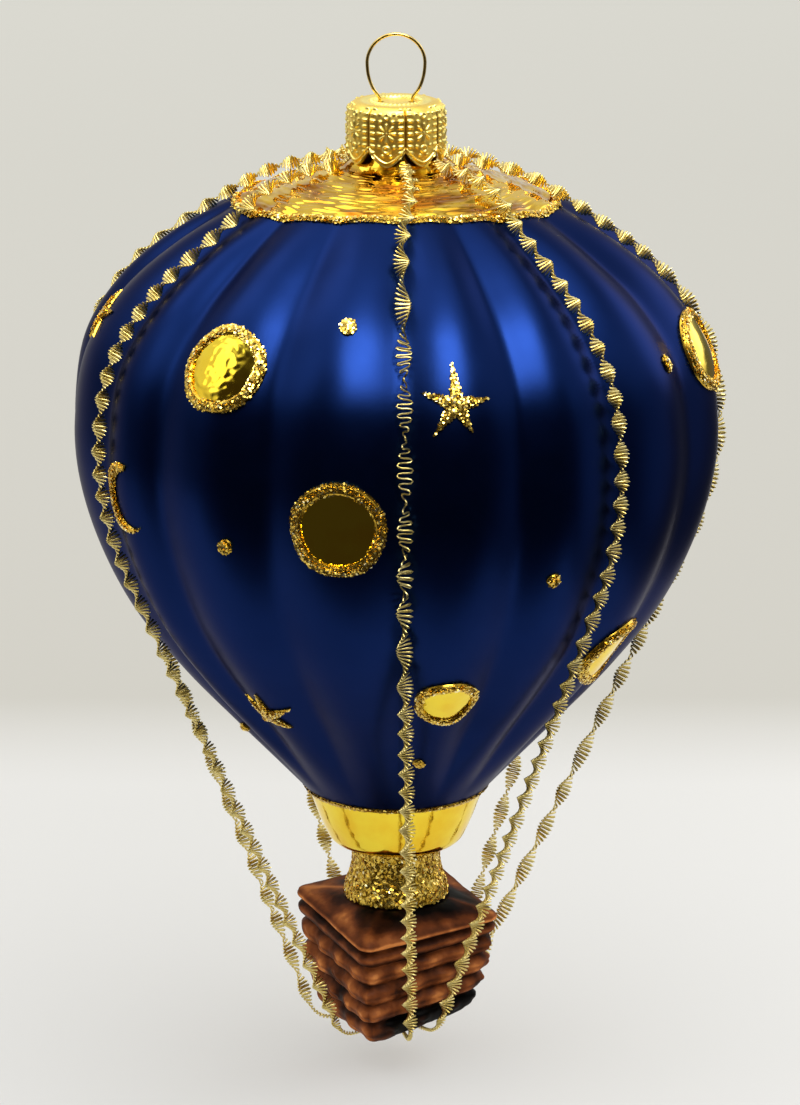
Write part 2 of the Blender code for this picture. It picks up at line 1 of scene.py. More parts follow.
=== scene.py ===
"""Looks of the hanging glass balloon ornament.

Every visible piece is modelled here at full detail in the place of its CAD solid:
fluted lacquered glass, mirror crown and collar, crimped cap, wound crinkle wires,
glitter made of separate flakes, and the woven-moulded basket. Lengths are in metres
and +Z is up. Azimuth 0 is the front (-Y), and azimuths grow towards the right (+X).
A drop is a depth below the cap's top rim.
"""

import math

import bmesh
import bpy
import numpy as np
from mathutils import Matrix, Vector, noise


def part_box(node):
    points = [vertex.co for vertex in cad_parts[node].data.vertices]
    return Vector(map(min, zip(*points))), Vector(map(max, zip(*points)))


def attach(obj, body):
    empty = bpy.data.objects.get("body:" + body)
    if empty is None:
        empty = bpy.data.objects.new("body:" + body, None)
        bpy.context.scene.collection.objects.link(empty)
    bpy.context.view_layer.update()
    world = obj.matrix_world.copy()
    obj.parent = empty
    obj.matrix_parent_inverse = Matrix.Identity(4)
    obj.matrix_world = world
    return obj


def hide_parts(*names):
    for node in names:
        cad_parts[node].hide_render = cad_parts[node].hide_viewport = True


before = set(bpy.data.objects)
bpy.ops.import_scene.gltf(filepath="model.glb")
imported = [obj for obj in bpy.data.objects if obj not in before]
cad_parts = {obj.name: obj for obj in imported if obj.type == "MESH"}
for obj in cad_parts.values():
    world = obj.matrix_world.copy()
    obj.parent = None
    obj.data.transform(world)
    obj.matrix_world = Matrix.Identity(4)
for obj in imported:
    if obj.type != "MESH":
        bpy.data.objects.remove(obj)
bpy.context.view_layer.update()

MM = 0.001
GAP = 0.35 * MM
RIM_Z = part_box("cap")[1].z

# Camera, as the photograph shows it
CAMERA_DISTANCE = 0.700
CAMERA_ABOVE_RIM = 0.1297
CAMERA_PITCH = 15.93
CAMERA_LENS = 155.14
CAMERA_SENSOR = 36.0
CAMERA_SHIFT = 0.0036

# Backdrop: a table with a wall that curves up behind it
TABLE_Z = -0.1625
TABLE_FRONT_Y = -0.095
TABLE_BACK_Y = 0.12
SWEEP_RADIUS = 0.10
WALL_TOP_Z = 0.30
BACKDROP_LEFT_X = -0.34
BACKDROP_RIGHT_X = 0.125
# The paper's colour and a painted glow: (height above the table over twice the corner's radius, colour). The
# glow stands in for the room's light on the paper and keeps shadows on it faint; it grows up the wall while
# the colour darkens
PAPER_STOPS = ((0.003, (0.58, 0.576, 0.57)), (0.042, (0.15, 0.147, 0.14)))
PAPER_PAINTED_GLOW_STOPS = (
    (0.003, (0.20, 0.20, 0.193)), (0.042, (0.485, 0.472, 0.422)), (0.65, (0.54, 0.535, 0.485)),
)

# Lamp above the front
LAMP_PLACE = (0.10, -0.50, 0.80)
LAMP_TARGET = (0.0, 0.0, -0.06)
LAMP_SIZE = (0.60, 0.58)
LAMP_POWER = 13.0

# Room that the gloss mirrors: (sine of the elevation, colour), and spots in it as
# (direction, cosine where the spot begins, cosine where it is full, colour)
ROOM_STOPS = (
    (0.0, (0.12, 0.12, 0.115)), (0.15, (0.34, 0.34, 0.33)), (0.38, (0.80, 0.80, 0.78)),
    (0.72, (0.80, 0.80, 0.78)), (0.77, (0.36, 0.35, 0.34)), (0.82, (0.36, 0.35, 0.34)),
    (0.89, (1.60, 1.60, 1.57)),
)
ROOM_SPOTS = (
    ((0, -1, 0), 0.30, 0.50, (0.034, 0.028, 0.024)),
    ((0.97, 0.12, -0.18), 0.88, 0.97, (0.40, 0.40, 0.41)),
    ((-0.87, 0.46, -0.12), 0.90, 0.98, (0.40, 0.38, 0.36)),
    ((-0.46, 0.36, 0.81), 0.93, 0.965, (2.8, 2.75, 2.7)),
    ((-0.72, -0.20, 0.66), 0.955, 0.98, (2.0, 2.0, 1.9)),
    ((0.74, 0.58, 0.34), 0.93, 0.97, (2.4, 2.4, 2.5)),
)
# The same for matt surfaces, and the flat colour that shows beyond the backdrop
SOFT_STOPS = (
    (0.0, (0.55, 0.55, 0.54)), (0.2, (0.86, 0.86, 0.84)), (0.6, (0.84, 0.84, 0.82)),
    (0.9, (0.72, 0.72, 0.70)),
)
SOFT_SPOTS = (
    ((0.75, 0.10, 0.60), 0.1, 0.9, (1.62, 1.61, 1.58)),
    ((-0.75, -0.60, 0.25), 0.2, 0.8, (1.25, 1.24, 1.22)),
)
ROOM_SEEN = (0.62, 0.62, 0.60)

# Blown glass, the same shape as in the CAD
FLUTE_DEPTH = 1.6 * MM
FLUTE_SOFTNESS = 0.22
GLASS_WALL = 0.9 * MM
PIKE_RADIUS = 6.2 * MM
PIKE_WALL = 1.0 * MM
PIKE_TOP_DROP = 1.65 * MM
CROWN_RIPPLE = 0.19 * MM
COLLAR_TOP_RADIUS = 13.7 * MM
BORDER_MEAN_RADIUS = 22.6 * MM
BORDER_WAVE = 1.6 * MM
VALLEYS = (1.5, 22.5, 41.5, 65, 90, 112, 134, 157, 178, 197, 217, 237, 257, 271, 297, 314, 337)
VALLEY_ENDS = np.array(VALLEYS + (VALLEYS[0] + 360,))
# Crest line of the lobes, in mm: (drop, radius)
BALLOON_PROFILE = (
    (9.9, 8.0), (11.0, 12.4), (12.4, 17.0), (14.9, 23.5), (20.0, 32.9), (27.0, 41.3),
    (36.0, 47.2), (47.0, 49.1), (56.0, 48.5), (66.0, 45.6), (76.0, 40.7), (86.0, 33.3),
    (95.0, 25.2), (103.0, 17.7), (107.3, 13.7),
)
COLLAR_PROFILE = (
    (107.6, 13.5), (109.6, 12.8), (111.8, 12.0), (113.8, 11.15), (115.4, 10.3), (116.25, 9.1), (116.5, 7.1),
)
NECK_PROFILE = ((116.8, 7.0), (118.4, 6.8), (120.0, 6.9), (121.6, 7.3), (123.2, 7.9), (124.9, 8.2))
NECK_WALL = 1.2 * MM

# Crinkled wires: (azimuth at the cap, in the valley, at the basket's foot, at the knot)
STAYS = (
    (11, 1.5, 13, 5), (56, 41.5, 40, 45), (101, 90, 100, 92), (146, 134, 121, 135),
    (187, 178, 176, 180), (213, 217, 210, 225), (240, 257, 254, 270), (281, 297, 298, 315),
)
# How far each wire's turns are pulled apart, in mm a turn: (on the glass, on the free run)
STAY_OPENED = (
    (0.95, 0.0), (0.03, 0.0), (0.20, 0.17), (0.20, 0.17), (0.05, 0.10), (0.05, 0.10), (0.15, 0.12),
    (0.0, 0.0),
)
# Where along a wire that is: round a middle on the glass, and from one place to another on
OPEN_MIDDLE = 60 * MM
OPEN_REACH = 24 * MM
OPEN_RUN = (70 * MM, 95 * MM)
STAY_WIDTH = 2.4 * MM
STAY_FLAT = 0.75 * MM
STAY_STEP = 4.5 * MM
STAY_START_RADIUS = 8.1 * MM
STAY_SWELL_LENGTH = 9.0 * MM
STAY_FOOT_BEND = 1.6 * MM
STAY_HELD_RADIUS = 6.95 * MM
STAY_HELD_DROP = 8.35 * MM
KNOT_RADIUS = 2.3 * MM
CRINKLE_WIRE_RADIUS = 0.138 * MM
CRINKLE_HALF_TWIST = 3.6 * MM
CRINKLE_PITCH = 0.45 * MM
CRINKLE_HALF_THICKNESS = 0.17 * MM
CRINKLE_FAN = 0.08 * MM

# Decoration: windows, crescents and dots are (azimuth, drop mm, radius mm)
WINDOWS = (
    (-33.6, 32.0, 6.6), (-9.8, 53.2, 7.1), (12.2, 83.2, 4.8), (77.0, 35.5, 6.4), (56.5, 79.5, 6.2),
    (112.0, 56.0, 7.2), (156.0, 38.0, 6.9), (197.5, 60.0, 7.2), (237.0, 50.0, 7.0), (197.5, 85.0, 6.0),
)
# Stars, drawn by hand: (azimuth, drop in mm, and (turn in degrees, length in mm) of each arm)
STARS = (
    (10.5, 35.3, ((-1, 6.5), (81, 5.2), (152, 4.6), (219, 5.6), (295, 5.6))),
    (-80.3, 31.0, ((-19, 4.9), (70, 4.4), (137, 4.4), (200, 4.5), (253, 5.6))),
    (-37.0, 87.8, ((3, 5.0), (68, 5.5), (134, 4.4), (220, 5.4), (301, 4.4))),
    (112.0, 32.0, ((5, 5.6), (77, 4.8), (148, 4.7), (222, 4.9), (296, 5.1))),
    (156.0, 64.0, ((-22, 5.2), (48, 4.6), (126, 5.0), (195, 4.6), (270, 4.7))),
    (198.0, 34.0, ((26, 4.9), (99, 5.1), (167, 4.6), (243, 5.3), (312, 4.6))),
)
STAR_WAIST = 1.6 * MM
CRESCENTS = ((-55.0, 53.8, 5.3), (112.0, 82.0, 5.2))
CRESCENT_BACK = (55, 285)
CRESCENT_HOLLOW = (76, 264)
CRESCENT_HOLLOW_SHIFT = 0.36
CRESCENT_HOLLOW_RADIUS = 0.84
DOTS = (
    (-9.8, 25.5, 1.25), (-30.8, 57.5, 1.1), (29.2, 62.8, 1.05), (59.0, 34.5, 1.2), (-70.0, 95.5, 0.9),
    (8.2, 96.2, 0.9), (101.0, 70.0, 1.2), (146.0, 84.0, 1.0), (167.0, 50.0, 1.2), (188.0, 27.0, 1.0),
    (228.0, 31.0, 1.2), (247.0, 72.0, 1.0),
)
# A window's mirror and the bead of glue round it, in mm: (beyond that side's radius, lift)
RING_SHARE = 0.24
RING_OUTER_SIDE = ((0.05, 0.02), (-0.10, 0.55), (-0.35, 0.80))
RING_INNER_SIDE = ((0.35, 0.80), (0.10, 0.60), (0.0, 0.10))
MIRROR_FACE = 0.42 * MM
MIRROR_BACK = 0.20 * MM
WINDOW_COLUMNS = 72
# The first window's mirror is crinkled; the others have only a faint ripple
WINDOW_CRINKLES = {1: 2.2}
# Beads of glue under stars and dots, and across a crescent: (share of the way, lift in mm)
GLUE_LEVELS = ((1.0, 0.02), (0.93, 0.30), (0.70, 0.48), (0.35, 0.55))
GLUE_HEIGHT = 0.58 * MM
GLUE_TONE = 0.30
CRESCENT_SECTION = ((0.0, 0.02), (0.12, 0.35), (0.5, 0.6), (0.88, 0.35), (1.0, 0.02))
BORDER_LINE_HALF_WIDTH = 0.62 * MM
COLLAR_LINE_HALF_WIDTH = 0.42 * MM
# Flakes of glitter
FLAKE_SIZE = 0.38 * MM
FLAKE_SPACING = 0.29 * MM
NECK_FLAKES = 4400
NECK_FLAKE_SIZE = 0.60 * MM
GOLDEN_ANGLE = 137.50776

# Cap
CAP_RADIUS = 7.5 * MM
CAP_WALL = 0.4 * MM
CAP_PANELS = 8
CAP_NOTCH_AZIMUTH = 11.25
CAP_TONGUE_TIP_DROP = 9.0 * MM
CAP_TONGUE_ROOT_DROP = 6.4 * MM
CAP_NOTCH_HEIGHT = 2.4 * MM
CAP_TONGUE_CURL = 0.4 * MM
CAP_SIDE_DROP = 1.9 * MM
# Rounded shoulder from the top face to the side, in mm: (drop, radius)
CAP_SHOULDER_PROFILE = ((0.0, 5.5), (0.08, 6.1), (0.42, 6.75), (1.05, 7.22), (1.9, 7.45))
# The rest of the section, in mm: (drop, radius, tone of the metal), where the tone is painted shade in the
# hole and under the cap and a painted highlight on the top face
CAP_HOLE_SIDE = ((0.95, 2.95, 0.2), (0.35, 3.2, 0.5))
CAP_TOP_FACE = ((0.16, 4.2, 0.75), (0.18, 4.6, 0.75), (0.08, 5.1, 0.75))
CAP_UNDERSIDE = ((1.15, 3.6, 0.35), (1.15, 2.95, 0.35))
CAP_PLATE_RADIUS = 2.9 * MM
CAP_PLATE_DROP = 0.7 * MM
# Stamped pattern, in mm down the side; rings are (across, down, radius, width of their line)
CAP_FIRST_BEAD = 1.15
CAP_BEAD_STEP = 0.95
CAP_ROSETTE_PLACE = 4.9
CAP_RINGS = (
    (0.0, 2.35, 0.36, 0.14), (0.95, 3.15, 0.0, 0.20), (0.0, 7.35, 0.46, 0.15),
    (1.15, 6.9, 0.0, 0.24), (0.62, 8.25, 0.0, 0.20), (1.15, 2.0, 0.0, 0.18),
)
CAP_COLUMNS = 52
CAP_ROPE_TURNS = 36
CAP_ROPE_HEIGHT = 0.20 * MM
LEG_HOLE_RADIUS = 0.5 * MM

# Wire loop
LOOP_WIRE_RADIUS = 0.25 * MM
LOOP_HALF_WIDTH = 4.3 * MM
LOOP_LOWER_HALF_HEIGHT = 6.3 * MM
LOOP_CENTRE_ABOVE_RIM = 5.54 * MM
LOOP_LEG_SPACING = 2.3 * MM
# Each leg below the ring, in mm: (outwards from its hole, height above the rim)
LOOP_LEG = ((0.05, -0.3), (0.0, -0.9), (0.05, -1.6), (0.35, -2.9), (0.9, -4.7), (1.5, -6.9))

# Basket, the CAD's sections from the bottom up, in mm: (drop, half side, corner radius)
BASKET_CORNER_AZIMUTH = -17.0
BASKET_LEAN_FORWARD = 0.12
BASKET_LEAN_RIGHT = 0.15
BASKET_SECTIONS = (
    (145.1, 6.9, 1.6), (144.4, 8.1, 1.8), (143.0, 9.1, 1.8), (141.7, 9.5, 1.8), (140.8, 9.2, 1.8),
    (139.8, 10.2, 2.0), (138.5, 10.6, 2.0), (137.4, 10.1, 2.0), (136.3, 10.9, 2.0), (135.0, 11.2, 2.0),
    (133.9, 10.6, 2.0), (132.8, 11.4, 2.0), (131.6, 11.6, 2.0), (130.6, 11.0, 2.0), (129.7, 11.8, 2.0),
    (128.8, 12.0, 2.0), (128.0, 11.3, 2.0), (127.3, 12.1, 2.0), (126.6, 11.8, 2.2), (125.9, 9.8, 4.4),
    (125.25, 8.1, 6.6),
)
BASKET_HOLLOW = (
    (125.25, 6.0, 5.4), (127.8, 8.2, 3.6), (130.5, 9.2, 2.0), (141.6, 7.2, 1.4), (143.7, 5.2, 1.0),
)
BASKET_EAVE_DROP = 126.6 * MM
# Under its bottom edge: (drop in mm, share of the bottom section)
BASKET_UNDERSIDE = ((145.25, 0.86), (145.1, 0.66), (144.85, 0.4), (144.8, 0.12))
# Where one row of the weave ends and the next begins, as drops in mm
WEAVE_EDGES = (130.6, 133.9, 137.4, 140.8, 145.3)
WEAVE_PITCH = 5.2
# Side on which the roof round the neck and the lowest row are painted nearly black as shade
SHADED_SIDE_AZIMUTH = 38.0
STAIN_SHARE = 0.90


def smooth_step(low, high, value):
    t = np.clip((value - low) / (high - low), 0.0, 1.0)
    return t * t * (3 - 2 * t)


def place(azimuth, radius, drop):
    a = np.radians(azimuth)
    x, y, z = np.broadcast_arrays(radius * np.sin(a), -radius * np.cos(a), RIM_Z - drop)
    return np.stack((x, y, z), axis=-1)


def round_angles(count):
    return 2 * np.pi * np.arange(count) / count


def round_azimuths(count):
    return np.arange(count) * 360 / count


def unit(vectors):
    return vectors / np.linalg.norm(vectors, axis=-1, keepdims=True)


def wavy(points, scale, seed):
    """Smooth noise from -1 to 1 at each point."""
    offset = Vector((seed * 7.3, seed * 3.1, seed * 5.7))
    flat = np.asarray(points, float).reshape(-1, 3)
    values = [noise.noise(Vector(p) * scale + offset) for p in flat]
    return np.array(values).reshape(np.shape(points)[:-1])


class Curve:
    """Smooth curve through points, measured along their chords."""

    def __init__(self, points):
        self.points = np.asarray(points, float)
        chords = np.linalg.norm(np.diff(self.points, axis=0), axis=1)
        self.stations = np.concatenate(([0.0], np.cumsum(chords)))
        self.length = self.stations[-1]
        index = np.arange(len(self.points))
        low = np.maximum(index - 1, 0)
        high = np.minimum(index + 1, index[-1])
        span = (self.stations[high] - self.stations[low])[:, None]
        self.slopes = (self.points[high] - self.points[low]) / span

    def at(self, s):
        s = np.asarray(s, float)
        k = np.clip(np.searchsorted(self.stations, s) - 1, 0, len(self.stations) - 2)
        span = self.stations[k + 1] - self.stations[k]
        t = ((s - self.stations[k]) / span)[..., None]
        span = span[..., None]
        t2, t3 = t * t, t * t * t
        point = self.points[k] * (2 * t3 - 3 * t2 + 1) + self.points[k + 1] * (3 * t2 - 2 * t3)
        bend = self.slopes[k] * (t3 - 2 * t2 + t) + self.slopes[k + 1] * (t3 - t2)
        return point + span * bend


class Profile(Curve):
    """Outline of a turned shape: its points are (radius, drop)."""

    def __init__(self, points_mm):
        super().__init__([(r * MM, d * MM) for d, r in points_mm])

    def normal(self, s):
        """Outward direction at s, as (radius, drop) parts."""
        step = 0.2 * MM
        along = unit(self.at(np.asarray(s) + step) - self.at(np.asarray(s) - step))
        return np.stack((along[..., 1], -along[..., 0]), axis=-1)


CAP_SHOULDER = Profile(CAP_SHOULDER_PROFILE)
BALLOON = Profile(BALLOON_PROFILE)
SAMPLES = np.linspace(0.0, BALLOON.length, 4000)
SAMPLE_RADII, SAMPLE_DROPS = BALLOON.at(SAMPLES).T
EQUATOR = float(np.interp(47.0 * MM, SAMPLE_DROPS, SAMPLES))
UPPER = SAMPLES < EQUATOR
COLLAR_TOP = BALLOON.length


def station_at_radius(radius):
    return np.interp(radius, SAMPLE_RADII[UPPER], SAMPLES[UPPER])


def station_at_drop(drop):
    return float(np.interp(drop, SAMPLE_DROPS, SAMPLES))


def border_station(azimuth):
    """Where the gold crown ends: the painted edge runs lower at the sides."""
    return station_at_radius(BORDER_MEAN_RADIUS - BORDER_WAVE * np.cos(2 * np.radians(azimuth)))


def lobe_share(azimuth):
    """0 in a valley and 1 on the crest of a lobe."""
    azimuth = np.mod(np.asarray(azimuth) - VALLEYS[0], 360) + VALLEYS[0]
    ends = VALLEY_ENDS
    k = np.clip(np.searchsorted(ends, azimuth, side="right") - 1, 0, len(VALLEYS) - 1)
    wave = np.sin(np.pi * (azimuth - ends[k]) / (ends[k + 1] - ends[k]))
    soft = FLUTE_SOFTNESS
    return (np.hypot(wave, soft) - soft) / (math.hypot(1, soft) - soft)


def flute_depth(s):
    radius = BALLOON.at(s)[..., 0]
    upper = smooth_step(16 * MM, 36 * MM, radius)
    lower = smooth_step(COLLAR_TOP_RADIUS, 32 * MM, radius)
    return FLUTE_DEPTH * np.where(np.asarray(s) < EQUATOR, upper, lower)


def balloon_point(azimuth, s, lift=0.0):
    """Point on the fluted glass, raised by lift."""
    azimuth, s, lift = np.broadcast_arrays(azimuth, s, lift)
    height = lift - flute_depth(s) * (1 - lobe_share(azimuth))
    section = BALLOON.at(s) + BALLOON.normal(s) * height[..., None]
    return place(azimuth, section[..., 0], section[..., 1])


def patch_point(azimuth, s, right, down, lift):
    """Point on the glass, right and down from a middle point, raised by lift."""
    station = s + down
    turn = np.degrees(right / BALLOON.at(station)[..., 0])
    return balloon_point(azimuth + turn, station, lift)


def patch_normal(azimuth, s, right, down):
    """Outward direction of the glass there."""
    step = 0.1 * MM
    beside, before, below, above = (
        patch_point(azimuth, s, right + dx, down + dy, 0.0)
        for dx, dy in ((step, 0), (-step, 0), (0, step), (0, -step))
    )
    return unit(np.cross(below - above, beside - before))


# Meshes


def grid_faces(rows, columns, wrap_rows=False):
    """Quads of a grid whose columns close round."""
    i = np.arange(rows if wrap_rows else rows - 1)[:, None]
    j = np.arange(columns)[None, :]
    below, beside = (i + 1) % rows, (j + 1) % columns
    corners = (i * columns + j, below * columns + j, below * columns + beside, i * columns + beside)
    return np.stack(corners, axis=-1).reshape(-1, 4)


def fan(centre, ring):
    """Triangles from a centre vertex to a ring of vertex numbers."""
    return np.stack((np.full(len(ring), centre), ring, np.roll(ring, -1)), axis=-1)


def disc_faces(rows, columns):
    """A grid and the two fans that close it, whose middle vertices follow the grid's own."""
    count = rows * columns
    ring = np.arange(columns)
    return [grid_faces(rows, columns), fan(count, ring)[:, ::-1], fan(count + 1, count - columns + ring)]


def rod_faces(rings, sides):
    """A rod's rings and the flat face at each end."""
    ring = np.arange(sides)
    return [grid_faces(rings, sides)[:, ::-1], np.stack((ring[::-1], (rings - 1) * sides + ring))]


def signed_volume(vertices, faces):
    total = 0.0
    for group in faces:
        corners = vertices[group]
        for k in range(1, group.shape[1] - 1):
            total += np.einsum("ij,ij->", corners[:, 0], np.cross(corners[:, k], corners[:, k + 1]))
    return total / 6


def add_piece(name, vertices, faces, material, body="balloon", nodes=(), sharp=None, shades=None):
    """Closed mesh, turned so that its faces point out. shades is one number for each vertex."""
    vertices = np.asarray(vertices, float).reshape(-1, 3)
    if signed_volume(vertices, faces) < 0:
        faces = [group[:, ::-1] for group in faces]
    mesh = bpy.data.meshes.new(name)
    mesh.from_pydata(vertices.tolist(), [], [face for group in faces for face in group.tolist()])
    mesh.shade_smooth()
    if sharp:
        mesh.set_sharp_from_angle(angle=math.radians(sharp))
    if shades is not None:
        layer = mesh.attributes.new("shade", "FLOAT", "POINT")
        layer.data.foreach_set("value", np.asarray(shades, np.float32).ravel())
    mesh.materials.append(material)
    piece = bpy.data.objects.new(name, mesh)
    bpy.context.collection.objects.link(piece)
    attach(piece, body)
    if nodes:
        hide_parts(*nodes)


def tube(points, radius, sides, guide):
    """Vertices and faces of a round wire. The guide is a direction that the wire never takes."""
    along = unit(np.gradient(points, axis=0))
    across = unit(np.cross(along, guide))
    other = np.cross(along, across)
    turn = round_angles(sides)[None, :, None]
    ring = np.cos(turn) * across[:, None] + np.sin(turn) * other[:, None]
    return (points[:, None] + radius * ring).reshape(-1, 3), rod_faces(len(points), sides)


def joined(parts):
    """One mesh from several (vertices, faces) pairs."""
    vertices, faces, first = [], [], 0
    for part_vertices, part_faces in parts:
        vertices.append(part_vertices)
        faces += [group + first for group in part_faces]
        first += len(part_vertices)
    return np.concatenate(vertices), faces


# Materials


def add_node(tree, kind, **values):
    node = tree.nodes.new(kind)
    set_sockets(node, values)
    return node


def set_sockets(node, values):
    for key, value in values.items():
        node.inputs[key.replace("_", " ")].default_value = value


def feed(tree, node, **sources):
    """Link an output to each named input of a node."""
    for key, source in sources.items():
        tree.links.new(source, node.inputs[key.replace("_", " ")])


def object_noise(tree, scale, detail=3.0, stretch=(1, 1, 1)):
    """Noise in the ornament's own space, so it stays on the surface."""
    space = tree.nodes.new("ShaderNodeTexCoord")
    stretched = add_node(tree, "ShaderNodeMapping", Scale=stretch)
    texture = add_node(tree, "ShaderNodeTexNoise", Scale=scale, Detail=detail)
    feed(tree, stretched, Vector=space.outputs["Object"])
    feed(tree, texture, Vector=stretched.outputs["Vector"])
    return texture.outputs["Fac"]


def shade_value(tree):
    """The number that a mesh carries for each vertex."""
    node = tree.nodes.new("ShaderNodeAttribute")
    node.attribute_name = "shade"
    return node.outputs["Fac"]


def patchy_shade(tree):
    """That number with broad stains added."""
    total = tree.nodes.new("ShaderNodeMath")
    total.operation = "MULTIPLY_ADD"
    total.inputs[1].default_value = STAIN_SHARE
    tree.links.new(object_noise(tree, 260.0, 6.0), total.inputs[0])
    tree.links.new(shade_value(tree), total.inputs[2])
    return total.outputs["Value"]


def ramp(tree, source, stops):
    """Colours by position: (position, (red, green, blue))."""
    node = tree.nodes.new("ShaderNodeValToRGB")
    elements = node.color_ramp.elements
    while len(elements) < len(stops):
        elements.new(0.5)
    for element, (position, colour) in zip(elements, stops):
        element.position = position
        element.color = (*colour, 1)
    feed(tree, node, Fac=source)
    return node.outputs["Color"]


def spread(tree, source, low, high):
    """A value from 0 to 1 mapped onto a range."""
    node = add_node(tree, "ShaderNodeMapRange", To_Min=low, To_Max=high)
    feed(tree, node, Value=source)
    return node.outputs["Result"]


def principled(name, **settings):
    """Material, its node tree and its shader, with the shader's own sockets set."""
    material = bpy.data.materials.new(name)
    material.use_nodes = True
    shader = material.node_tree.nodes["Principled BSDF"]
    set_sockets(shader, settings)
    return material, material.node_tree, shader


def surface(name, source, stops, rough, relief=None, metallic=1.0, **settings):
    """Material with colour stops over a source, a range of roughness and a fine relief.

    source makes a value in a node tree. rough is (noise scale, lowest, highest) and relief is
    (height in mm, strength, and what object_noise takes).
    """
    material, tree, shader = principled(name, Metallic=metallic, **settings)
    scale, low, high = rough
    feed(tree, shader, Base_Color=ramp(tree, source(tree), stops))
    feed(tree, shader, Roughness=spread(tree, object_noise(tree, scale), low, high))
    if relief:
        height, strength, *texture = relief
        node = add_node(tree, "ShaderNodeBump", Strength=strength, Distance=height * MM)
        feed(tree, node, Height=object_noise(tree, *texture))
        feed(tree, shader, Normal=node.outputs["Normal"])
    return material


def mirror_material(name, scale, stretch, dark, light):
    """Gold-tinted mirror on blown glass, with faint ripples and a film of uneven colour."""
    return surface(
        name, lambda tree: object_noise(tree, scale, stretch=stretch), ((0.34, dark), (0.60, light)),
        rough=(300.0, 0.04, 0.13), relief=(0.05, 0.5, 420.0, 3.0, stretch),
    )


def wire_material(name, dark, light, low, high):
    stops = ((0.35, dark), (0.62, light))
    return surface(name, lambda tree: object_noise(tree, 500.0), stops, rough=(1200.0, low, high))


# Satin lacquer over silvered glass: dark, with deep blue highlights
LACQUER = surface(
    "satin_blue_lacquer", lambda tree: object_noise(tree, 55.0),
    ((0.30, (0.0042, 0.0138, 0.074)), (0.72, (0.0054, 0.0178, 0.094))),
    rough=(240.0, 0.30, 0.38), relief=(0.02, 0.25, 1500.0, 2.0), Specular_Tint=(0.60, 0.58, 0.60, 1.0),
)
MIRROR = mirror_material("gold_mirror", 160.0, (1, 1, 1), (0.94, 0.60, 0.034), (1.0, 0.76, 0.058))
CROWN_MIRROR = mirror_material(
    "gold_mirror_rippled", 130.0, (0.8, 0.8, 7.0), (0.38, 0.13, 0.006), (0.94, 0.62, 0.054)
)
# Metal flakes, each with its own tint
GLITTER = surface(
    "gold_glitter_flakes", shade_value,
    ((0.0, (0.16, 0.080, 0.005)), (0.25, (0.56, 0.34, 0.03)), (0.6, (0.88, 0.60, 0.10)),
     (0.9, (1.0, 0.79, 0.22)), (1.0, (1.0, 0.93, 0.58))),
    rough=(900.0, 0.14, 0.34),
)
# Stamped metal whose shades paint a highlight on its ridges and shade in its hollows
CAP_METAL = surface(
    "stamped_gold", shade_value,
    ((0.0, (0.50, 0.30, 0.04)), (0.42, (0.98, 0.72, 0.15)), (0.75, (1.0, 0.86, 0.28))),
    rough=(700.0, 0.32, 0.48), relief=(0.02, 0.4, 1400.0),
)
CRINKLE = wire_material("crinkle_wire", (0.74, 0.58, 0.17), (0.94, 0.80, 0.34), 0.30, 0.42)
LOOP_METAL = wire_material("loop_wire", (0.62, 0.42, 0.09), (0.90, 0.66, 0.20), 0.14, 0.26)
# Red-brown lacquer, darker in the hollows and lighter on the ridges: partly dark glaze and worn orange paint,
# partly painted shade and painted highlight
BASKET_PAINT = surface(
    "antiqued_brown_and_painted_shade", patchy_shade,
    ((0.30, (0.0012, 0.0004, 0.0002)), (0.54, (0.034, 0.009, 0.003)), (0.74, (0.140, 0.036, 0.009)),
     (0.90, (0.290, 0.088, 0.022)), (1.0, (0.520, 0.185, 0.048))),
    rough=(500.0, 0.38, 0.58), relief=(0.06, 0.4, 900.0), metallic=0.0, Specular_IOR_Level=0.05,
)


# Blown glass


def shell(name, outer, inner, material, node):
    """Closed wall from outer rows and inner rows, both listed from the top down."""
    rows = np.concatenate((outer, inner[::-1]))
    faces = [grid_faces(len(rows), rows.shape[1], wrap_rows=True)]
    add_piece(name, rows, faces, material, nodes=(node,), sharp=60)


def inner_row(azimuths, s):
    section = BALLOON.at(s) - BALLOON.normal(s) * (flute_depth(s) + GLASS_WALL)[..., None]
    return place(azimuths, section[..., 0], section[..., 1])


def lobe_columns(per_lobe):
    parts = [np.linspace(a, b, per_lobe, endpoint=False) for a, b in zip(VALLEY_ENDS, VALLEY_ENDS[1:])]
    return np.concatenate(parts)


def build_crown():
    azimuths = lobe_columns(24)
    edge = border_station(azimuths) - GAP / 2
    shares = np.linspace(0.0, 1.0, 120)[:, None]
    s = shares * edge
    flat = balloon_point(azimuths, s)
    # The film's ripples run round the crown, so they are short down the glass and long across it
    along = flat * np.array((0.22, 0.22, 0.0)) + s[..., None] * np.array((0, 0, 1.0))
    ripple = wavy(along, 700.0, 3) + 0.75 * wavy(along, 1700.0, 4) + 0.4 * wavy(flat, 500.0, 5)
    fade = smooth_step(0.0, 0.06, shares) * smooth_step(1.0, 0.95, shares)
    pike = [place(azimuths, PIKE_RADIUS, drop) for drop in (PIKE_TOP_DROP, 5.0 * MM, 8.6 * MM)]
    outer = np.concatenate((pike, balloon_point(azimuths, s, CROWN_RIPPLE * ripple * fade)))
    inside = [place(azimuths, PIKE_RADIUS - PIKE_WALL, drop) for drop in (PIKE_TOP_DROP, 10.6 * MM)]
    inside += [inner_row(azimuths, share * edge) for share in (0.4, 0.7, 1.0)]
    shell("crown_mirror", outer, np.array(inside), CROWN_MIRROR, "crown_glass")


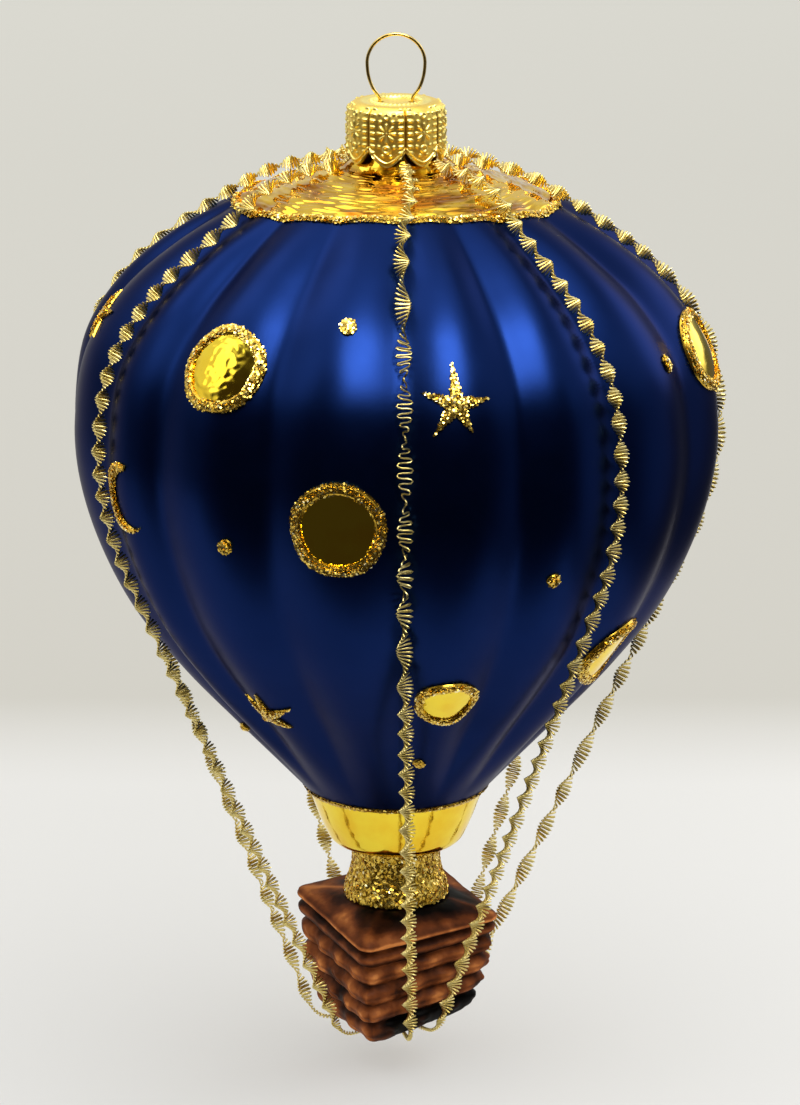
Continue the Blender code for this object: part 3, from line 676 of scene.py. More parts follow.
def build_envelope():
    azimuths = lobe_columns(20)
    top = border_station(azimuths) + GAP / 2
    outer_s, inner_s = (
        top + np.linspace(0.0, 1.0, count)[:, None] * (COLLAR_TOP - top) for count in (150, 14)
    )
    outer, inner = balloon_point(azimuths, outer_s), inner_row(azimuths, inner_s)
    shell("envelope_lacquer", outer, inner, LACQUER, "envelope_glass")


def turned_rows(profile, azimuths, count, inset=0.0):
    s = np.linspace(0.0, profile.length, count)
    section = profile.at(s) - inset * profile.normal(s)
    return place(azimuths[None, :], section[:, :1], section[:, 1:])


def build_collar():
    azimuths = round_azimuths(160)
    profile = Profile(COLLAR_PROFILE)
    outer, inner = turned_rows(profile, azimuths, 40), turned_rows(profile, azimuths, 10, GLASS_WALL)
    shell("collar_mirror", outer, inner, MIRROR, "mouth_collar")


# Glitter


def chips(points, normals, seed, size=FLAKE_SIZE, tilt=0.55, tone=0.62):
    """Flakes: each a tilted six-sided face whose pointed root is sunk into the glue."""
    rng = np.random.default_rng(seed)
    count, sides = len(points), 6
    lean = rng.normal(size=(count, 3))
    lean -= normals * np.einsum("ij,ij->i", lean, normals)[:, None]
    axis = unit(normals + tilt * rng.random((count, 1)) * unit(lean))
    across = unit(np.cross(axis, rng.normal(size=(count, 3))))
    other = np.cross(axis, across)
    turn = round_angles(sides) + rng.random((count, 1)) * np.pi
    reach = size / 2 * rng.uniform(0.80, 1.20, (count, 1)) * rng.uniform(0.94, 1.06, (count, sides))
    corners = points[:, None] + (reach * np.cos(turn))[..., None] * across[:, None]
    corners += (reach * np.sin(turn))[..., None] * other[:, None]
    roots = points - normals * size * 0.8
    vertices = np.concatenate((corners, roots[:, None]), axis=1)
    first = (sides + 1) * np.arange(count)[:, None]
    faces = [first + np.arange(sides)]
    faces += [first + np.array((sides, (j + 1) % sides, j)) for j in range(sides)]
    tint = np.repeat(np.clip(rng.normal(tone, 0.22, count), 0, 1), sides + 1)
    return vertices.reshape(-1, 3), faces, tint


def scattered(reach, seed):
    """Jittered points that fill a square."""
    rng = np.random.default_rng(seed)
    x, y = np.meshgrid(*[np.arange(-reach, reach, FLAKE_SPACING)] * 2)
    x = x + FLAKE_SPACING / 2 * (np.arange(x.shape[0]) % 2)[:, None]
    points = np.stack((x.ravel(), y.ravel()), axis=-1)
    return points + rng.uniform(-0.42, 0.42, points.shape) * FLAKE_SPACING


def glitter_piece(name, base, flakes, nodes=()):
    """Glue bead and its flakes as one piece."""
    vertices, faces, tint = flakes
    both, all_faces = joined(((base[0].reshape(-1, 3), base[1]), (vertices, faces)))
    shades = np.concatenate((np.full(len(both) - len(tint), GLUE_TONE), tint))
    add_piece(name, both, all_faces, GLITTER, nodes=nodes, sharp=35, shades=shades)


def flakes_at(azimuth, s, places, lift, seed):
    """Flakes at (right, down) places round a middle point."""
    points = patch_point(azimuth, s, *places.T, lift)
    return chips(points, patch_normal(azimuth, s, *places.T), seed)


def ring_rows(azimuth, s, section, turn):
    """Rows round a middle point from (radius, lift) pairs."""
    rows = [patch_point(azimuth, s, r * np.sin(turn), r * np.cos(turn), lift) for r, lift in section]
    return np.array(rows)


def build_window(number, azimuth, drop, radius):
    """Mirror disc that follows the lobes, and the glitter ring round it."""
    s = station_at_drop(drop * MM)
    edge, inside = radius * MM, radius * MM * (1 - RING_SHARE)
    nodes = (f"window_{number:02d}",)
    turn = round_angles(WINDOW_COLUMNS)
    front = [(share * inside, MIRROR_FACE) for share in np.linspace(0.06, 1.02, 24)]
    rows = ring_rows(azimuth, s, front + [(share * inside, MIRROR_BACK) for share in (1.02, 0.5, 0.06)], turn)
    face = rows[:len(front)]
    crinkle = wavy(face, 420.0, number) + WINDOW_CRINKLES.get(number, 0.35) * wavy(face, 1300.0, number + 20)
    face += (0.035 * MM * crinkle)[..., None] * unit(face * np.array((1, 1, 0)))
    centres = [patch_point(azimuth, s, 0.0, 0.0, lift) for lift in (MIRROR_FACE, MIRROR_BACK)]
    vertices = np.concatenate((rows.reshape(-1, 3), centres))
    faces = disc_faces(len(rows), WINDOW_COLUMNS)
    add_piece(f"moon_mirror_{number:02d}", vertices, faces, MIRROR, nodes=nodes, sharp=50)

    section = [(edge + dr * MM, lift * MM) for dr, lift in RING_OUTER_SIDE]
    section += [(inside + dr * MM, lift * MM) for dr, lift in RING_INNER_SIDE]
    bead = ring_rows(azimuth, s, section, turn)
    bead_faces = [grid_faces(len(section), WINDOW_COLUMNS, wrap_rows=True)]
    places = scattered(edge, 100 + number)
    reach = np.hypot(*places.T) + 0.12 * MM * np.sin(5 * np.arctan2(*places.T) + number)
    kept = (reach > inside - 0.05 * MM) & (reach < edge + 0.10 * MM)
    across = np.clip((reach[kept] - (inside + edge) / 2) / ((edge - inside) / 2), -1, 1)
    lift = 0.5 * MM + 0.45 * MM * (1 - across ** 2)
    flakes = flakes_at(azimuth, s, places[kept], lift, 200 + number)
    glitter_piece(f"moon_ring_{number:02d}", (bead, bead_faces), flakes, nodes)


def star_outline(arms):
    """Slim points drawn by hand, with a notch midway between each two."""
    corners = []
    for (turn, length), (following, _) in zip(arms, arms[1:] + ((arms[0][0] + 360, 0),)):
        for degrees, reach in ((turn, length * MM), ((turn + following) / 2, STAR_WAIST)):
            a = math.radians(degrees)
            corners.append((reach * math.sin(a), -reach * math.cos(a)))
    return np.array(corners)


def outline_test(points, corners):
    """Whether each point lies inside an outline, and how far it is from its edge."""
    within = np.zeros(len(points), bool)
    nearest = np.full(len(points), 1e9)
    x, y = points.T
    for a, b in zip(corners, np.roll(corners, -1, axis=0)):
        slope = (b[0] - a[0]) / (b[1] - a[1] + 1e-12)
        within ^= ((a[1] > y) != (b[1] > y)) & (x < a[0] + slope * (y - a[1]))
        share = np.clip((points - a) @ (b - a) / ((b - a) @ (b - a)), 0, 1)
        nearest = np.minimum(nearest, np.linalg.norm(points - a - share[:, None] * (b - a), axis=1))
    return within, nearest


def flakes_within(azimuth, s, corners, reach, margin, seeds):
    """Flakes all over an outline, heaped up away from its edge."""
    places = scattered(reach, seeds[0])
    within, near = outline_test(places, corners)
    kept = within | (near < margin)
    lift = 0.25 * MM + np.where(within, np.minimum(near, 0.5 * MM) * 0.8, 0.0)
    return flakes_at(azimuth, s, places[kept], lift[kept], seeds[1])


def build_outline_patch(name, azimuth, drop, corners, seed, nodes=()):
    """Glitter on a raised bead of glue with any outline that its middle can see."""
    s = station_at_drop(drop * MM)
    rows = [patch_point(azimuth, s, *(share * corners).T, lift * MM) for share, lift in GLUE_LEVELS]
    back = patch_point(azimuth, s, 0.0, 0.0, 0.0)
    top = patch_point(azimuth, s, 0.0, 0.0, GLUE_HEIGHT)
    vertices = np.concatenate((np.array(rows).reshape(-1, 3), [back, top]))
    base = (vertices, disc_faces(len(rows), len(corners)))
    reach = np.abs(corners).max() * 1.1
    flakes = flakes_within(azimuth, s, corners, reach, 0.03 * MM, (seed, seed + 1))
    glitter_piece(name, base, flakes, nodes)


def build_star(number, azimuth, drop, arms):
    nodes = (f"star_{number}",)
    build_outline_patch(f"star_glitter_{number}", azimuth, drop, star_outline(arms), 300 + number, nodes)


def build_crescent(number, azimuth, drop, radius):
    """Bead that tapers to both horns, open to the right."""
    s = station_at_drop(drop * MM)
    steps = 40
    outer, inner = (
        np.stack((np.cos(turn), np.sin(turn)), axis=-1)
        for turn in (np.radians(np.linspace(*ends, steps + 1)) for ends in (CRESCENT_BACK, CRESCENT_HOLLOW))
    )
    outer, inner = radius * outer, CRESCENT_HOLLOW_RADIUS * radius * inner
    inner[:, 0] += CRESCENT_HOLLOW_SHIFT * radius
    inner[0], inner[-1] = outer[0] * 0.985, outer[-1] * 0.985
    lines = [((outer + share * (inner - outer)) * MM, lift * MM) for share, lift in CRESCENT_SECTION]
    rows = [patch_point(azimuth, s, *line.T, lift) for line, lift in lines]
    base = (np.array(rows).transpose(1, 0, 2), rod_faces(steps + 1, len(rows)))
    corners = np.concatenate((outer, inner[::-1])) * MM
    flakes = flakes_within(azimuth, s, corners, radius * MM, 0.08 * MM, (400 + number, 420 + number))
    glitter_piece(f"crescent_glitter_{number}", base, flakes, (f"crescent_{number}",))


def build_dot(number, azimuth, drop, radius):
    rng = np.random.default_rng(60 + number)
    a = round_angles(12)
    reach = radius * MM * rng.uniform(0.8, 1.12, len(a))
    corners = np.stack((reach * np.sin(a), -1.1 * reach * np.cos(a)), axis=-1)
    build_outline_patch(f"dot_glitter_{number:02d}", azimuth, drop, corners, 500 + 2 * number)


def build_glitter_line(name, azimuths, middle, half, height, flakes):
    """Flat bead of glue round the balloon at its middle station, with its flakes."""
    section = ((-half, 0.02), (-0.4 * half, height), (0.4 * half, height), (half, 0.02))
    bead = np.array([balloon_point(azimuths, middle + offset, lift * MM) for offset, lift in section])
    glitter_piece(name, (bead, [grid_faces(len(section), len(azimuths), wrap_rows=True)]), flakes)


def build_border():
    """Line of glitter where the gold crown meets the blue."""
    half = BORDER_LINE_HALF_WIDTH
    azimuths = round_azimuths(720)
    middle = border_station(azimuths) + 0.22 * MM * wavy(place(azimuths, 20 * MM, 0.0), 260.0, 9)
    rng = np.random.default_rng(78)
    count = int(2 * np.pi * BORDER_MEAN_RADIUS * 2.3 * half / (0.30 * MM) ** 2)
    azimuth = rng.random(count) * 360
    offset = rng.uniform(-half - 0.1 * MM, half + 0.15 * MM, count)
    station = np.interp(azimuth, azimuths, middle, period=360) + offset
    lift = 0.22 * MM + 0.32 * MM * (1 - np.clip(np.abs(offset) / half, 0, 1) ** 2)
    normals = patch_normal(azimuth, station, 0.0, 0.0)
    flakes = chips(balloon_point(azimuth, station, lift), normals, 79)
    build_glitter_line("crown_border_glitter", azimuths, middle, half, 0.38, flakes)


def build_collar_line():
    """Thin line of glitter where the blue meets the gold collar."""
    half = COLLAR_LINE_HALF_WIDTH
    s = COLLAR_TOP - 0.35 * MM
    flakes = flakes_on(BALLOON, s - half, s + half, 1200, 0.26 * MM, 83)
    build_glitter_line("collar_line_glitter", round_azimuths(240), s, half, 0.30, flakes)


def flakes_on(profile, low, high, count, lift, seed, **looks):
    """Flakes spread evenly over a turned band between two stations."""
    rng = np.random.default_rng(seed)
    index = np.arange(count)
    azimuth = (index * GOLDEN_ANGLE + rng.normal(0, 4, count)) % 360
    s = low + (high - low) * ((index + rng.random(count)) / count)
    radius, drop = profile.at(s).T
    across, down = profile.normal(s).T
    a = np.radians(azimuth)
    normals = np.stack((across * np.sin(a), -across * np.cos(a), -down), axis=-1)
    return chips(place(azimuth, radius + across * lift, drop + down * lift), normals, seed + 1, **looks)


def build_neck():
    """Glass neck coated all over in coarse glitter."""
    azimuths = round_azimuths(96)
    profile = Profile(NECK_PROFILE)
    outer, inner = turned_rows(profile, azimuths, 24, 0.25 * MM), turned_rows(profile, azimuths, 6, NECK_WALL)
    rows = np.concatenate((outer, inner[::-1]))
    base = (rows, [grid_faces(len(rows), len(azimuths), wrap_rows=True)])
    margin = 0.1 * MM
    looks = {"size": NECK_FLAKE_SIZE, "tilt": 0.5, "tone": 0.46}
    flakes = flakes_on(profile, margin, profile.length - margin, NECK_FLAKES, 0.0, 81, **looks)
    glitter_piece("neck_glitter", base, flakes, ("burner_neck",))


# Cap and loop


def cap_edge(azimuth):
    """Lower edge of the cap: rounded tongues between V-shaped notches."""
    pitch = 360 / CAP_PANELS
    offset = np.abs((azimuth - CAP_NOTCH_AZIMUTH + pitch / 2) % pitch - pitch / 2)
    return CAP_TONGUE_TIP_DROP - CAP_NOTCH_HEIGHT * (1 - offset / (pitch / 2)) ** 1.6


def ridge(distance, width):
    return np.exp(-(distance / width) ** 2)


def cap_relief(azimuth, v, edge):
    """Stamped pattern in mm at v mm down the side: beaded seams, rosettes, rings and rims."""
    pitch = 360 / CAP_PANELS
    u = np.abs(np.radians((azimuth - CAP_NOTCH_AZIMUTH) % pitch - pitch / 2)) * CAP_RADIUS / MM
    half = math.radians(pitch / 2) * CAP_RADIUS / MM
    # Groove between two panels, with a row of beads on each side of it
    height = -0.22 * ridge(half - u, 0.13) * smooth_step(0.6, 1.4, v)
    row = np.clip(np.round((v - CAP_FIRST_BEAD) / CAP_BEAD_STEP), 0, 8)
    across = np.exp(-((u - half + 0.72) / 0.42) ** 4)
    height += 0.20 * across * ridge(v - CAP_FIRST_BEAD - CAP_BEAD_STEP * row, 0.18)
    # Rosette in the middle of the panel
    reach, angle = np.hypot(u, v - CAP_ROSETTE_PLACE), np.arctan2(u, v - CAP_ROSETTE_PLACE)
    petals = np.exp(-((reach - 0.92) / 0.55) ** 4) * np.cos(4 * angle) ** 6
    height += 0.21 * petals + 0.12 * ridge(reach, 0.18)
    for ring_u, ring_v, ring_radius, width in CAP_RINGS:
        height += 0.18 * ridge(np.hypot(u - ring_u, v - ring_v) - ring_radius, width)
    # Line along the tongue and its raised edge
    height += 0.16 * ridge(edge - v - 0.7, 0.15) * smooth_step(6.8, 7.4, v)
    return 1.25 * (height + 0.10 * ridge(edge - v, 0.22))


def cap_side(azimuths, v, inset=0.0):
    """Points of the cap's side at a distance v from the top of its shoulder."""
    v = np.broadcast_to(v, azimuths.shape)
    beyond = np.maximum(v - CAP_SHOULDER.length, 0)
    round_part = np.minimum(v, CAP_SHOULDER.length)
    section = CAP_SHOULDER.at(round_part) + CAP_SHOULDER.normal(round_part) * np.asarray(-inset)[..., None]
    drop = section[..., 1] + beyond
    bend = np.clip((drop - CAP_TONGUE_ROOT_DROP) / (CAP_TONGUE_TIP_DROP - CAP_TONGUE_ROOT_DROP), 0, 1)
    return place(azimuths, section[..., 0] - CAP_TONGUE_CURL * bend ** 2, drop)


def build_cap():
    """Cap from the hole in its top outwards, down its side and back up inside."""
    columns = CAP_COLUMNS * CAP_PANELS
    azimuths = round_azimuths(columns)
    rows, tones = [], []

    def add_row(points, tone):
        rows.append(points)
        tones.append(np.broadcast_to(tone, columns))

    def add_plain_rows(section):
        for drop, radius, tone in section:
            add_row(place(azimuths, radius * MM, drop * MM), tone)

    add_plain_rows(CAP_HOLE_SIDE)
    # The rope's tone rises with its height: a painted highlight on its crests
    for across in np.linspace(-1, 1, 9):
        twist = 0.62 + 0.38 * np.cos(np.radians(azimuths) * CAP_ROPE_TURNS + 2.4 * across)
        height = CAP_ROPE_HEIGHT * math.sqrt(max(0.0, 1 - across ** 2)) * twist
        add_row(place(azimuths, (3.68 + 0.36 * across) * MM, 0.08 * MM - height), 0.35 + 0.5 * twist)
    add_plain_rows(CAP_TOP_FACE)
    edge = CAP_SHOULDER.length + cap_edge(azimuths) - CAP_SIDE_DROP
    for share in np.linspace(0.0, 1.0, 112):
        height = cap_relief(azimuths, share * edge / MM, edge / MM)
        # Tone follows the relief: a painted highlight on what is raised and painted shade in what is sunk
        tone = np.clip(0.40 + 2.2 * height, 0, 1)
        add_row(cap_side(azimuths, share * edge, 0.05 * MM - height * MM), tone)
    # The inside of the wall is painted darker as shade
    for share in (1.0, 0.8, 0.55, 0.3, 0.1):
        add_row(cap_side(azimuths, share * edge, np.full(columns, CAP_WALL)), 0.35)
    add_plain_rows(CAP_UNDERSIDE)
    faces = [grid_faces(len(rows), columns, wrap_rows=True)]
    shades = np.array(tones)
    add_piece("cap_shell", rows, faces, CAP_METAL, nodes=("cap",), sharp=70, shades=shades)


def build_cap_plate():
    """Recessed middle of the cap's top, with the two holes for the loop's legs."""
    outlines = ((0.0, CAP_PLATE_RADIUS, 64), (-LOOP_LEG_SPACING, LEG_HOLE_RADIUS, 24),
                (LOOP_LEG_SPACING, LEG_HOLE_RADIUS, 24))
    bm = bmesh.new()
    edges = []
    for x, radius, sides in outlines:
        ring = [
            bm.verts.new((x + radius * math.cos(t), radius * math.sin(t), RIM_Z - CAP_PLATE_DROP))
            for t in round_angles(sides)
        ]
        edges += [bm.edges.new((a, b)) for a, b in zip(ring, ring[1:] + ring[:1])]
    bmesh.ops.triangle_fill(bm, edges=edges, use_beauty=True, use_dissolve=False)
    bmesh.ops.solidify(bm, geom=list(bm.faces), thickness=CAP_WALL)
    # The fill lists its triangles in any order, so they are sorted by their corners
    corners = []
    for face in bm.faces:
        ring = [v.co[:] for v in face.verts]
        first = ring.index(min(ring))
        corners.append(ring[first:] + ring[:first])
    bm.free()
    vertices = sorted({corner for ring in corners for corner in ring})
    number = {corner: k for k, corner in enumerate(vertices)}
    faces = [
        np.array([[number[corner] for corner in ring] for ring in sorted(corners) if len(ring) == sides])
        for sides in (3, 4)
    ]
    shades = np.full(len(vertices), 0.5)
    add_piece("cap_plate", vertices, faces, CAP_METAL, nodes=("cap",), sharp=40, shades=shades)


def build_loop():
    half = []
    for degrees in (*np.linspace(90, 0, 9), -14, -27, -40, -54):
        a = math.radians(degrees)
        reach = LOOP_HALF_WIDTH if degrees >= 0 else LOOP_LOWER_HALF_HEIGHT
        half.append((LOOP_HALF_WIDTH * math.cos(a), LOOP_CENTRE_ABOVE_RIM + reach * math.sin(a)))
    half += [(LOOP_LEG_SPACING + dx * MM, height * MM) for dx, height in LOOP_LEG]
    route = Curve([(-x, 0.0, RIM_Z + z) for x, z in half[:0:-1]] + [(x, 0.0, RIM_Z + z) for x, z in half])
    points = route.at(np.linspace(0.0, route.length, 260))
    vertices, faces = tube(points, LOOP_WIRE_RADIUS, 16, np.array((0.0, 1.0, 0.0)))
    nodes = ("hanger_loop",)
    add_piece("loop_wire", vertices, faces, LOOP_METAL, body="hanger", nodes=nodes, sharp=60)


# Crinkled wires


FOOT_DROP = BASKET_SECTIONS[0][0] * MM + GAP + STAY_FLAT / 2


def leaned(points, drop):
    """Points of the basket, moved up or down by its lean. The joint with the neck stays level."""
    top, bottom = BASKET_SECTIONS[-1][0] * MM, BASKET_SECTIONS[0][0] * MM
    below_top = np.clip((drop - top) / (BASKET_EAVE_DROP - top), 0, 1)
    below_eave = np.clip((drop - BASKET_EAVE_DROP) / (bottom - BASKET_EAVE_DROP), 0, 1)
    rise = BASKET_LEAN_FORWARD * points[..., 1] * below_top + BASKET_LEAN_RIGHT * points[..., 0] * below_eave
    return points + rise[..., None] * np.array((0.0, 0.0, 1.0))


def foot_point(azimuth, radius):
    """Middle of a wire under the basket's bottom."""
    return leaned(place(azimuth, radius, FOOT_DROP), FOOT_DROP)


def basket_reach(azimuth, half_side):
    from_face = abs((azimuth - BASKET_CORNER_AZIMUTH) % 90 - 45)
    return half_side * MM / math.cos(math.radians(from_face))


def leaving(end_radius, end_drop):
    """Station where a straight run to the basket's foot leaves the glass, and that (radius, drop)."""
    s = np.arange(EQUATOR, COLLAR_TOP - 20 * MM, 0.5 * MM)
    contact = BALLOON.at(s) + BALLOON.normal(s) * (GAP + STAY_WIDTH / 2 - flute_depth(s))[:, None]
    slope = (contact[:, 0] - end_radius) / (end_drop - contact[:, 1])
    best = int(np.argmax(slope))
    return s[best], contact[best]


def foot_radius(azimuth):
    """Smallest foot radius whose straight run clears every row of the basket."""
    lowest = basket_reach(azimuth, BASKET_SECTIONS[0][1]) + STAY_FOOT_BEND
    foot_drop = RIM_Z - foot_point(azimuth, lowest)[2]
    top_radius, top_drop = leaving(lowest, foot_drop)[1]
    needed = lowest
    for drop, half_side, _ in BASKET_SECTIONS[1:]:
        reach = basket_reach(azimuth, half_side)
        level = RIM_Z - leaned(place(azimuth, reach, drop * MM), drop * MM)[2]
        clear = reach + GAP + STAY_WIDTH / 2
        share = (foot_drop - top_drop) / (level - top_drop)
        needed = max(needed, top_radius + (clear - top_radius) * share)
    return needed


def spaced(start, stop, step):
    count = max(1, round((stop - start) / step))
    return np.linspace(start, stop, count + 1)


def stay_route(cap, valley, foot, knot):
    """Middle line of one wire, and how far it goes before it turns under."""
    start = float(station_at_radius(STAY_START_RADIUS))
    radius = foot_radius(foot)
    corner = foot_point(foot, radius)
    leave = leaving(radius, RIM_Z - corner[2])[0]
    route = [place(cap, STAY_HELD_RADIUS, STAY_HELD_DROP)]
    for s in spaced(start, leave, STAY_STEP):
        swell = smooth_step(0.0, STAY_SWELL_LENGTH, s - start)
        half = (STAY_FLAT + (STAY_WIDTH - STAY_FLAT) * swell) / 2
        azimuth = cap + (valley - cap) * smooth_step(0.0, 22 * MM, s - start)
        route.append(balloon_point(azimuth, s, GAP + half))
    top = route[-1]
    run = np.linalg.norm(corner - top)
    for distance in spaced(0.0, run - STAY_FOOT_BEND, STAY_STEP)[1:]:
        route.append(top + (corner - top) * distance / run)
    turned = sum(np.linalg.norm(b - a) for a, b in zip(route, route[1:]))
    inner_end = foot_point(knot, KNOT_RADIUS * 0.5)
    route += [corner + unit(inner_end - corner) * STAY_FOOT_BEND, inner_end]
    return Curve(route), turned


def summed(steps):
    return np.concatenate(([0.0], np.cumsum(steps)))


def between(places, stations, values):
    """Values, or vectors, between stations."""
    if values.ndim == 1:
        return np.interp(places, stations, values)
    return np.stack([np.interp(places, stations, column) for column in values.T], axis=-1)


def build_stay(number, stay):
    """A fine wire wound into a flat coil, and the flat coil twisted along its run."""
    curve, turned = stay_route(*stay)
    s = np.linspace(0.0, curve.length, 900)
    middle = curve.at(s)
    along = unit(np.gradient(middle, axis=0))
    a = np.arctan2(middle[:, 0], -middle[:, 1])
    across = np.stack((np.cos(a), np.sin(a), 0 * a), axis=-1)
    across = unit(across - along * np.einsum("ij,ij->i", across, along)[:, None])
    outward = np.cross(across, along)

    # The coil is pulled open most where the wire crosses the widest part of the glass
    on_glass, on_run = STAY_OPENED[number - 1]
    pitch = CRINKLE_PITCH + on_glass * MM * ridge(s - OPEN_MIDDLE, OPEN_REACH)
    pitch += on_run * MM * smooth_step(*OPEN_RUN, s)
    pitch *= 1 + 0.10 * np.sin(s / (1.9 * MM) + number) * np.sin(s / (7.3 * MM))
    turns = summed(np.diff(s) / ((pitch[1:] + pitch[:-1]) / 2))
    # Where it is open it is twisted less, and the twist wanders a little everywhere
    twisted = summed(np.diff(s) * np.clip((CRINKLE_PITCH / pitch[1:]) ** 2, 0.45, 1.0))
    twist = -np.pi * np.maximum(twisted - 1.5 * MM, 0.0) / CRINKLE_HALF_TWIST
    wander = 0.5 * np.sin(s / (11 * MM) + 2.1 * number) + 0.3 * np.sin(s / (5.3 * MM) + number)
    twist += wander * smooth_step(0.0, 3 * MM, s)

    # Strands run straight across and bend back at the edges, and those of one bead spread like a fan
    winding = np.arange(0.0, turns[-1], 0.1)
    place_s = np.interp(winding, turns, s)
    phase = 2 * np.pi * winding
    straight = np.interp(place_s, s, pitch) / (4 * np.pi) * np.sin(2 * phase)
    turn = between(place_s, s, twist)
    fan_out = CRINKLE_FAN * np.cos(phase) * 2 * np.sin(turn) * np.cos(turn) ** 2
    spot = np.clip(place_s + straight + fan_out, 0.0, curve.length)

    theta = between(spot, s, twist)[:, None]
    phase = phase[:, None]
    across, outward, middle, along = (between(spot, s, v) for v in (across, outward, middle, along))
    wide = 1.14 * across * np.cos(theta) + outward * np.sin(theta)
    thin = outward * np.cos(theta) - across * np.sin(theta)
    taper = smooth_step(-2 * MM, 2.5 * MM, place_s) * smooth_step(turned + 1.5 * MM, turned - 4 * MM, place_s)
    half_width = (STAY_WIDTH / 2 - CRINKLE_WIRE_RADIUS - 0.03 * MM) * (0.20 + 0.80 * taper[:, None])
    path = middle + half_width * np.cos(phase) * wide + CRINKLE_HALF_THICKNESS * np.sin(phase) * thin
    vertices, faces = tube(path, CRINKLE_WIRE_RADIUS, 5, along)
    nodes = (f"stay_{number}",)
    add_piece(f"crinkle_wire_{number}", vertices, faces, CRINKLE, nodes=nodes, sharp=80)


def build_knot():
    """The wires' ends, wound together into a flat curl under the basket."""
    parts = []
    for strand in range(3):
        t = np.linspace(0.0, 2 * np.pi, 420)[:-1]
        phase = 13 * t + strand * 2 * np.pi / 3
        drop = FOOT_DROP + STAY_FLAT / 4 - 0.42 * MM * np.sin(phase)
        path = leaned(place(90 + np.degrees(t), 1.35 * MM + 0.55 * MM * np.cos(phase), drop), FOOT_DROP)
        guide = np.stack((-np.sin(t), np.cos(t), 0 * t), axis=-1)
        parts.append(tube(path, 0.19 * MM, 6, guide))
    vertices, faces = joined(parts)
    add_piece("wire_knot", vertices, faces, CRINKLE, nodes=("stay_knot",), sharp=80)


# Basket


def square_radius(azimuth, half_side, corner_radius):
    """Distance from the axis to a rounded square."""
    a = np.radians(np.abs((azimuth - BASKET_CORNER_AZIMUTH) % 90 - 45))
    reach = half_side - corner_radius
    along = reach * (np.cos(a) + np.sin(a))
    arc = along + np.sqrt(np.maximum(0.0, along ** 2 - 2 * reach ** 2 + corner_radius ** 2))
    return np.where(half_side * np.tan(a) <= reach, half_side / np.cos(a), arc)


def weave(azimuth, drop, half_side):
    """Height in mm and tone of the moulded weave."""
    turned = azimuth - BASKET_CORNER_AZIMUTH
    face = np.floor(turned / 90)
    along = half_side * np.tan(np.radians(turned % 90 - 45))
    edges = WEAVE_EDGES
    band = int(np.clip(np.searchsorted(edges, drop) - 1, 0, len(edges) - 2))
    t = np.clip((drop - edges[band]) / (edges[band + 1] - edges[band]), 0, 1)
    body = np.sin(np.pi * t)
    cell = (along + 1.9 * band + 2.6 * face + 0.5 * np.sin(2.1 * band + face)) / WEAVE_PITCH
    over = np.cos(2 * np.pi * (cell + 0.06 * (t - 0.5)))
    if drop <= edges[0]:
        return 0 * cell, 0 * cell
    stakes = ridge((cell % 1) - 0.5, 0.13)
    height = body ** 0.6 * (0.46 + 0.30 * over) - 0.40 + 0.28 * stakes * (1 - 0.6 * body)
    height -= 0.22 * ridge(t - 0.5 - 0.12 * np.sin(2 * np.pi * cell), 0.09) * smooth_step(-0.3, 0.3, over)
    # Tone follows the relief: darker in the grooves and lighter on the raised rows, partly the glaze of the
    # antiquing and partly painted shade and painted highlight
    tone = 0.02 + body ** 0.7 * (0.32 + 0.16 * over) + 0.06 * stakes - 0.12 * ridge(t - 0.5, 0.10)
    return height, tone


def basket_row(drop, half_side, corner, azimuths):
    """One row of the outside, and its tones."""
    hips = ridge(np.abs((azimuths - BASKET_CORNER_AZIMUTH + 45) % 90 - 45), 4.0)
    facing = np.cos(np.radians(azimuths - SHADED_SIDE_AZIMUTH))
    radius = square_radius(azimuths, half_side, corner)
    height, tone = weave(azimuths, drop, half_side)

    # Roof with its raised hips and the lips round the eave. The roof's tone is painted darker near the neck
    # as shade, and lighter on its hips and the lips, worn paint with a painted highlight
    roof = smooth_step(126.9, 126.2, drop)
    height = height + 0.55 * roof * hips * smooth_step(125.3, 125.9, drop)
    height = height - 0.20 * ridge(drop - 128.1, 0.24) - 0.12 * ridge(drop - 130.6, 0.3)
    tone = tone + roof * (0.12 + 0.28 * smooth_step(125.35, 126.2, drop) + 0.24 * hips)
    tone = tone + 0.50 * ridge(drop - 127.15, 0.40) + 0.30 * ridge(drop - 129.1, 0.60)

    # Painted shade: the roof round the neck, and the lowest row, on that side
    painted_shade = smooth_step(0.1, 0.6, facing) * smooth_step(126.7, 125.9, drop)
    painted_shade = painted_shade + 1.5 * smooth_step(0.60, 0.80, facing) * smooth_step(140.4, 141.4, drop)

    plain = place(azimuths, radius * MM, drop * MM)
    rough = wavy(plain, 260.0, 21) + 0.4 * wavy(plain, 700.0, 22)
    lumps = wavy(plain, 150.0, 23)
    radius = radius + height + 0.16 * rough + 0.35 * lumps
    # Tone: painted shade on that side, and lighter where the surface bulges, a painted highlight
    return place(azimuths, radius * MM, drop * MM), tone - 0.33 * painted_shade + 0.10 * rough + 0.10 * lumps


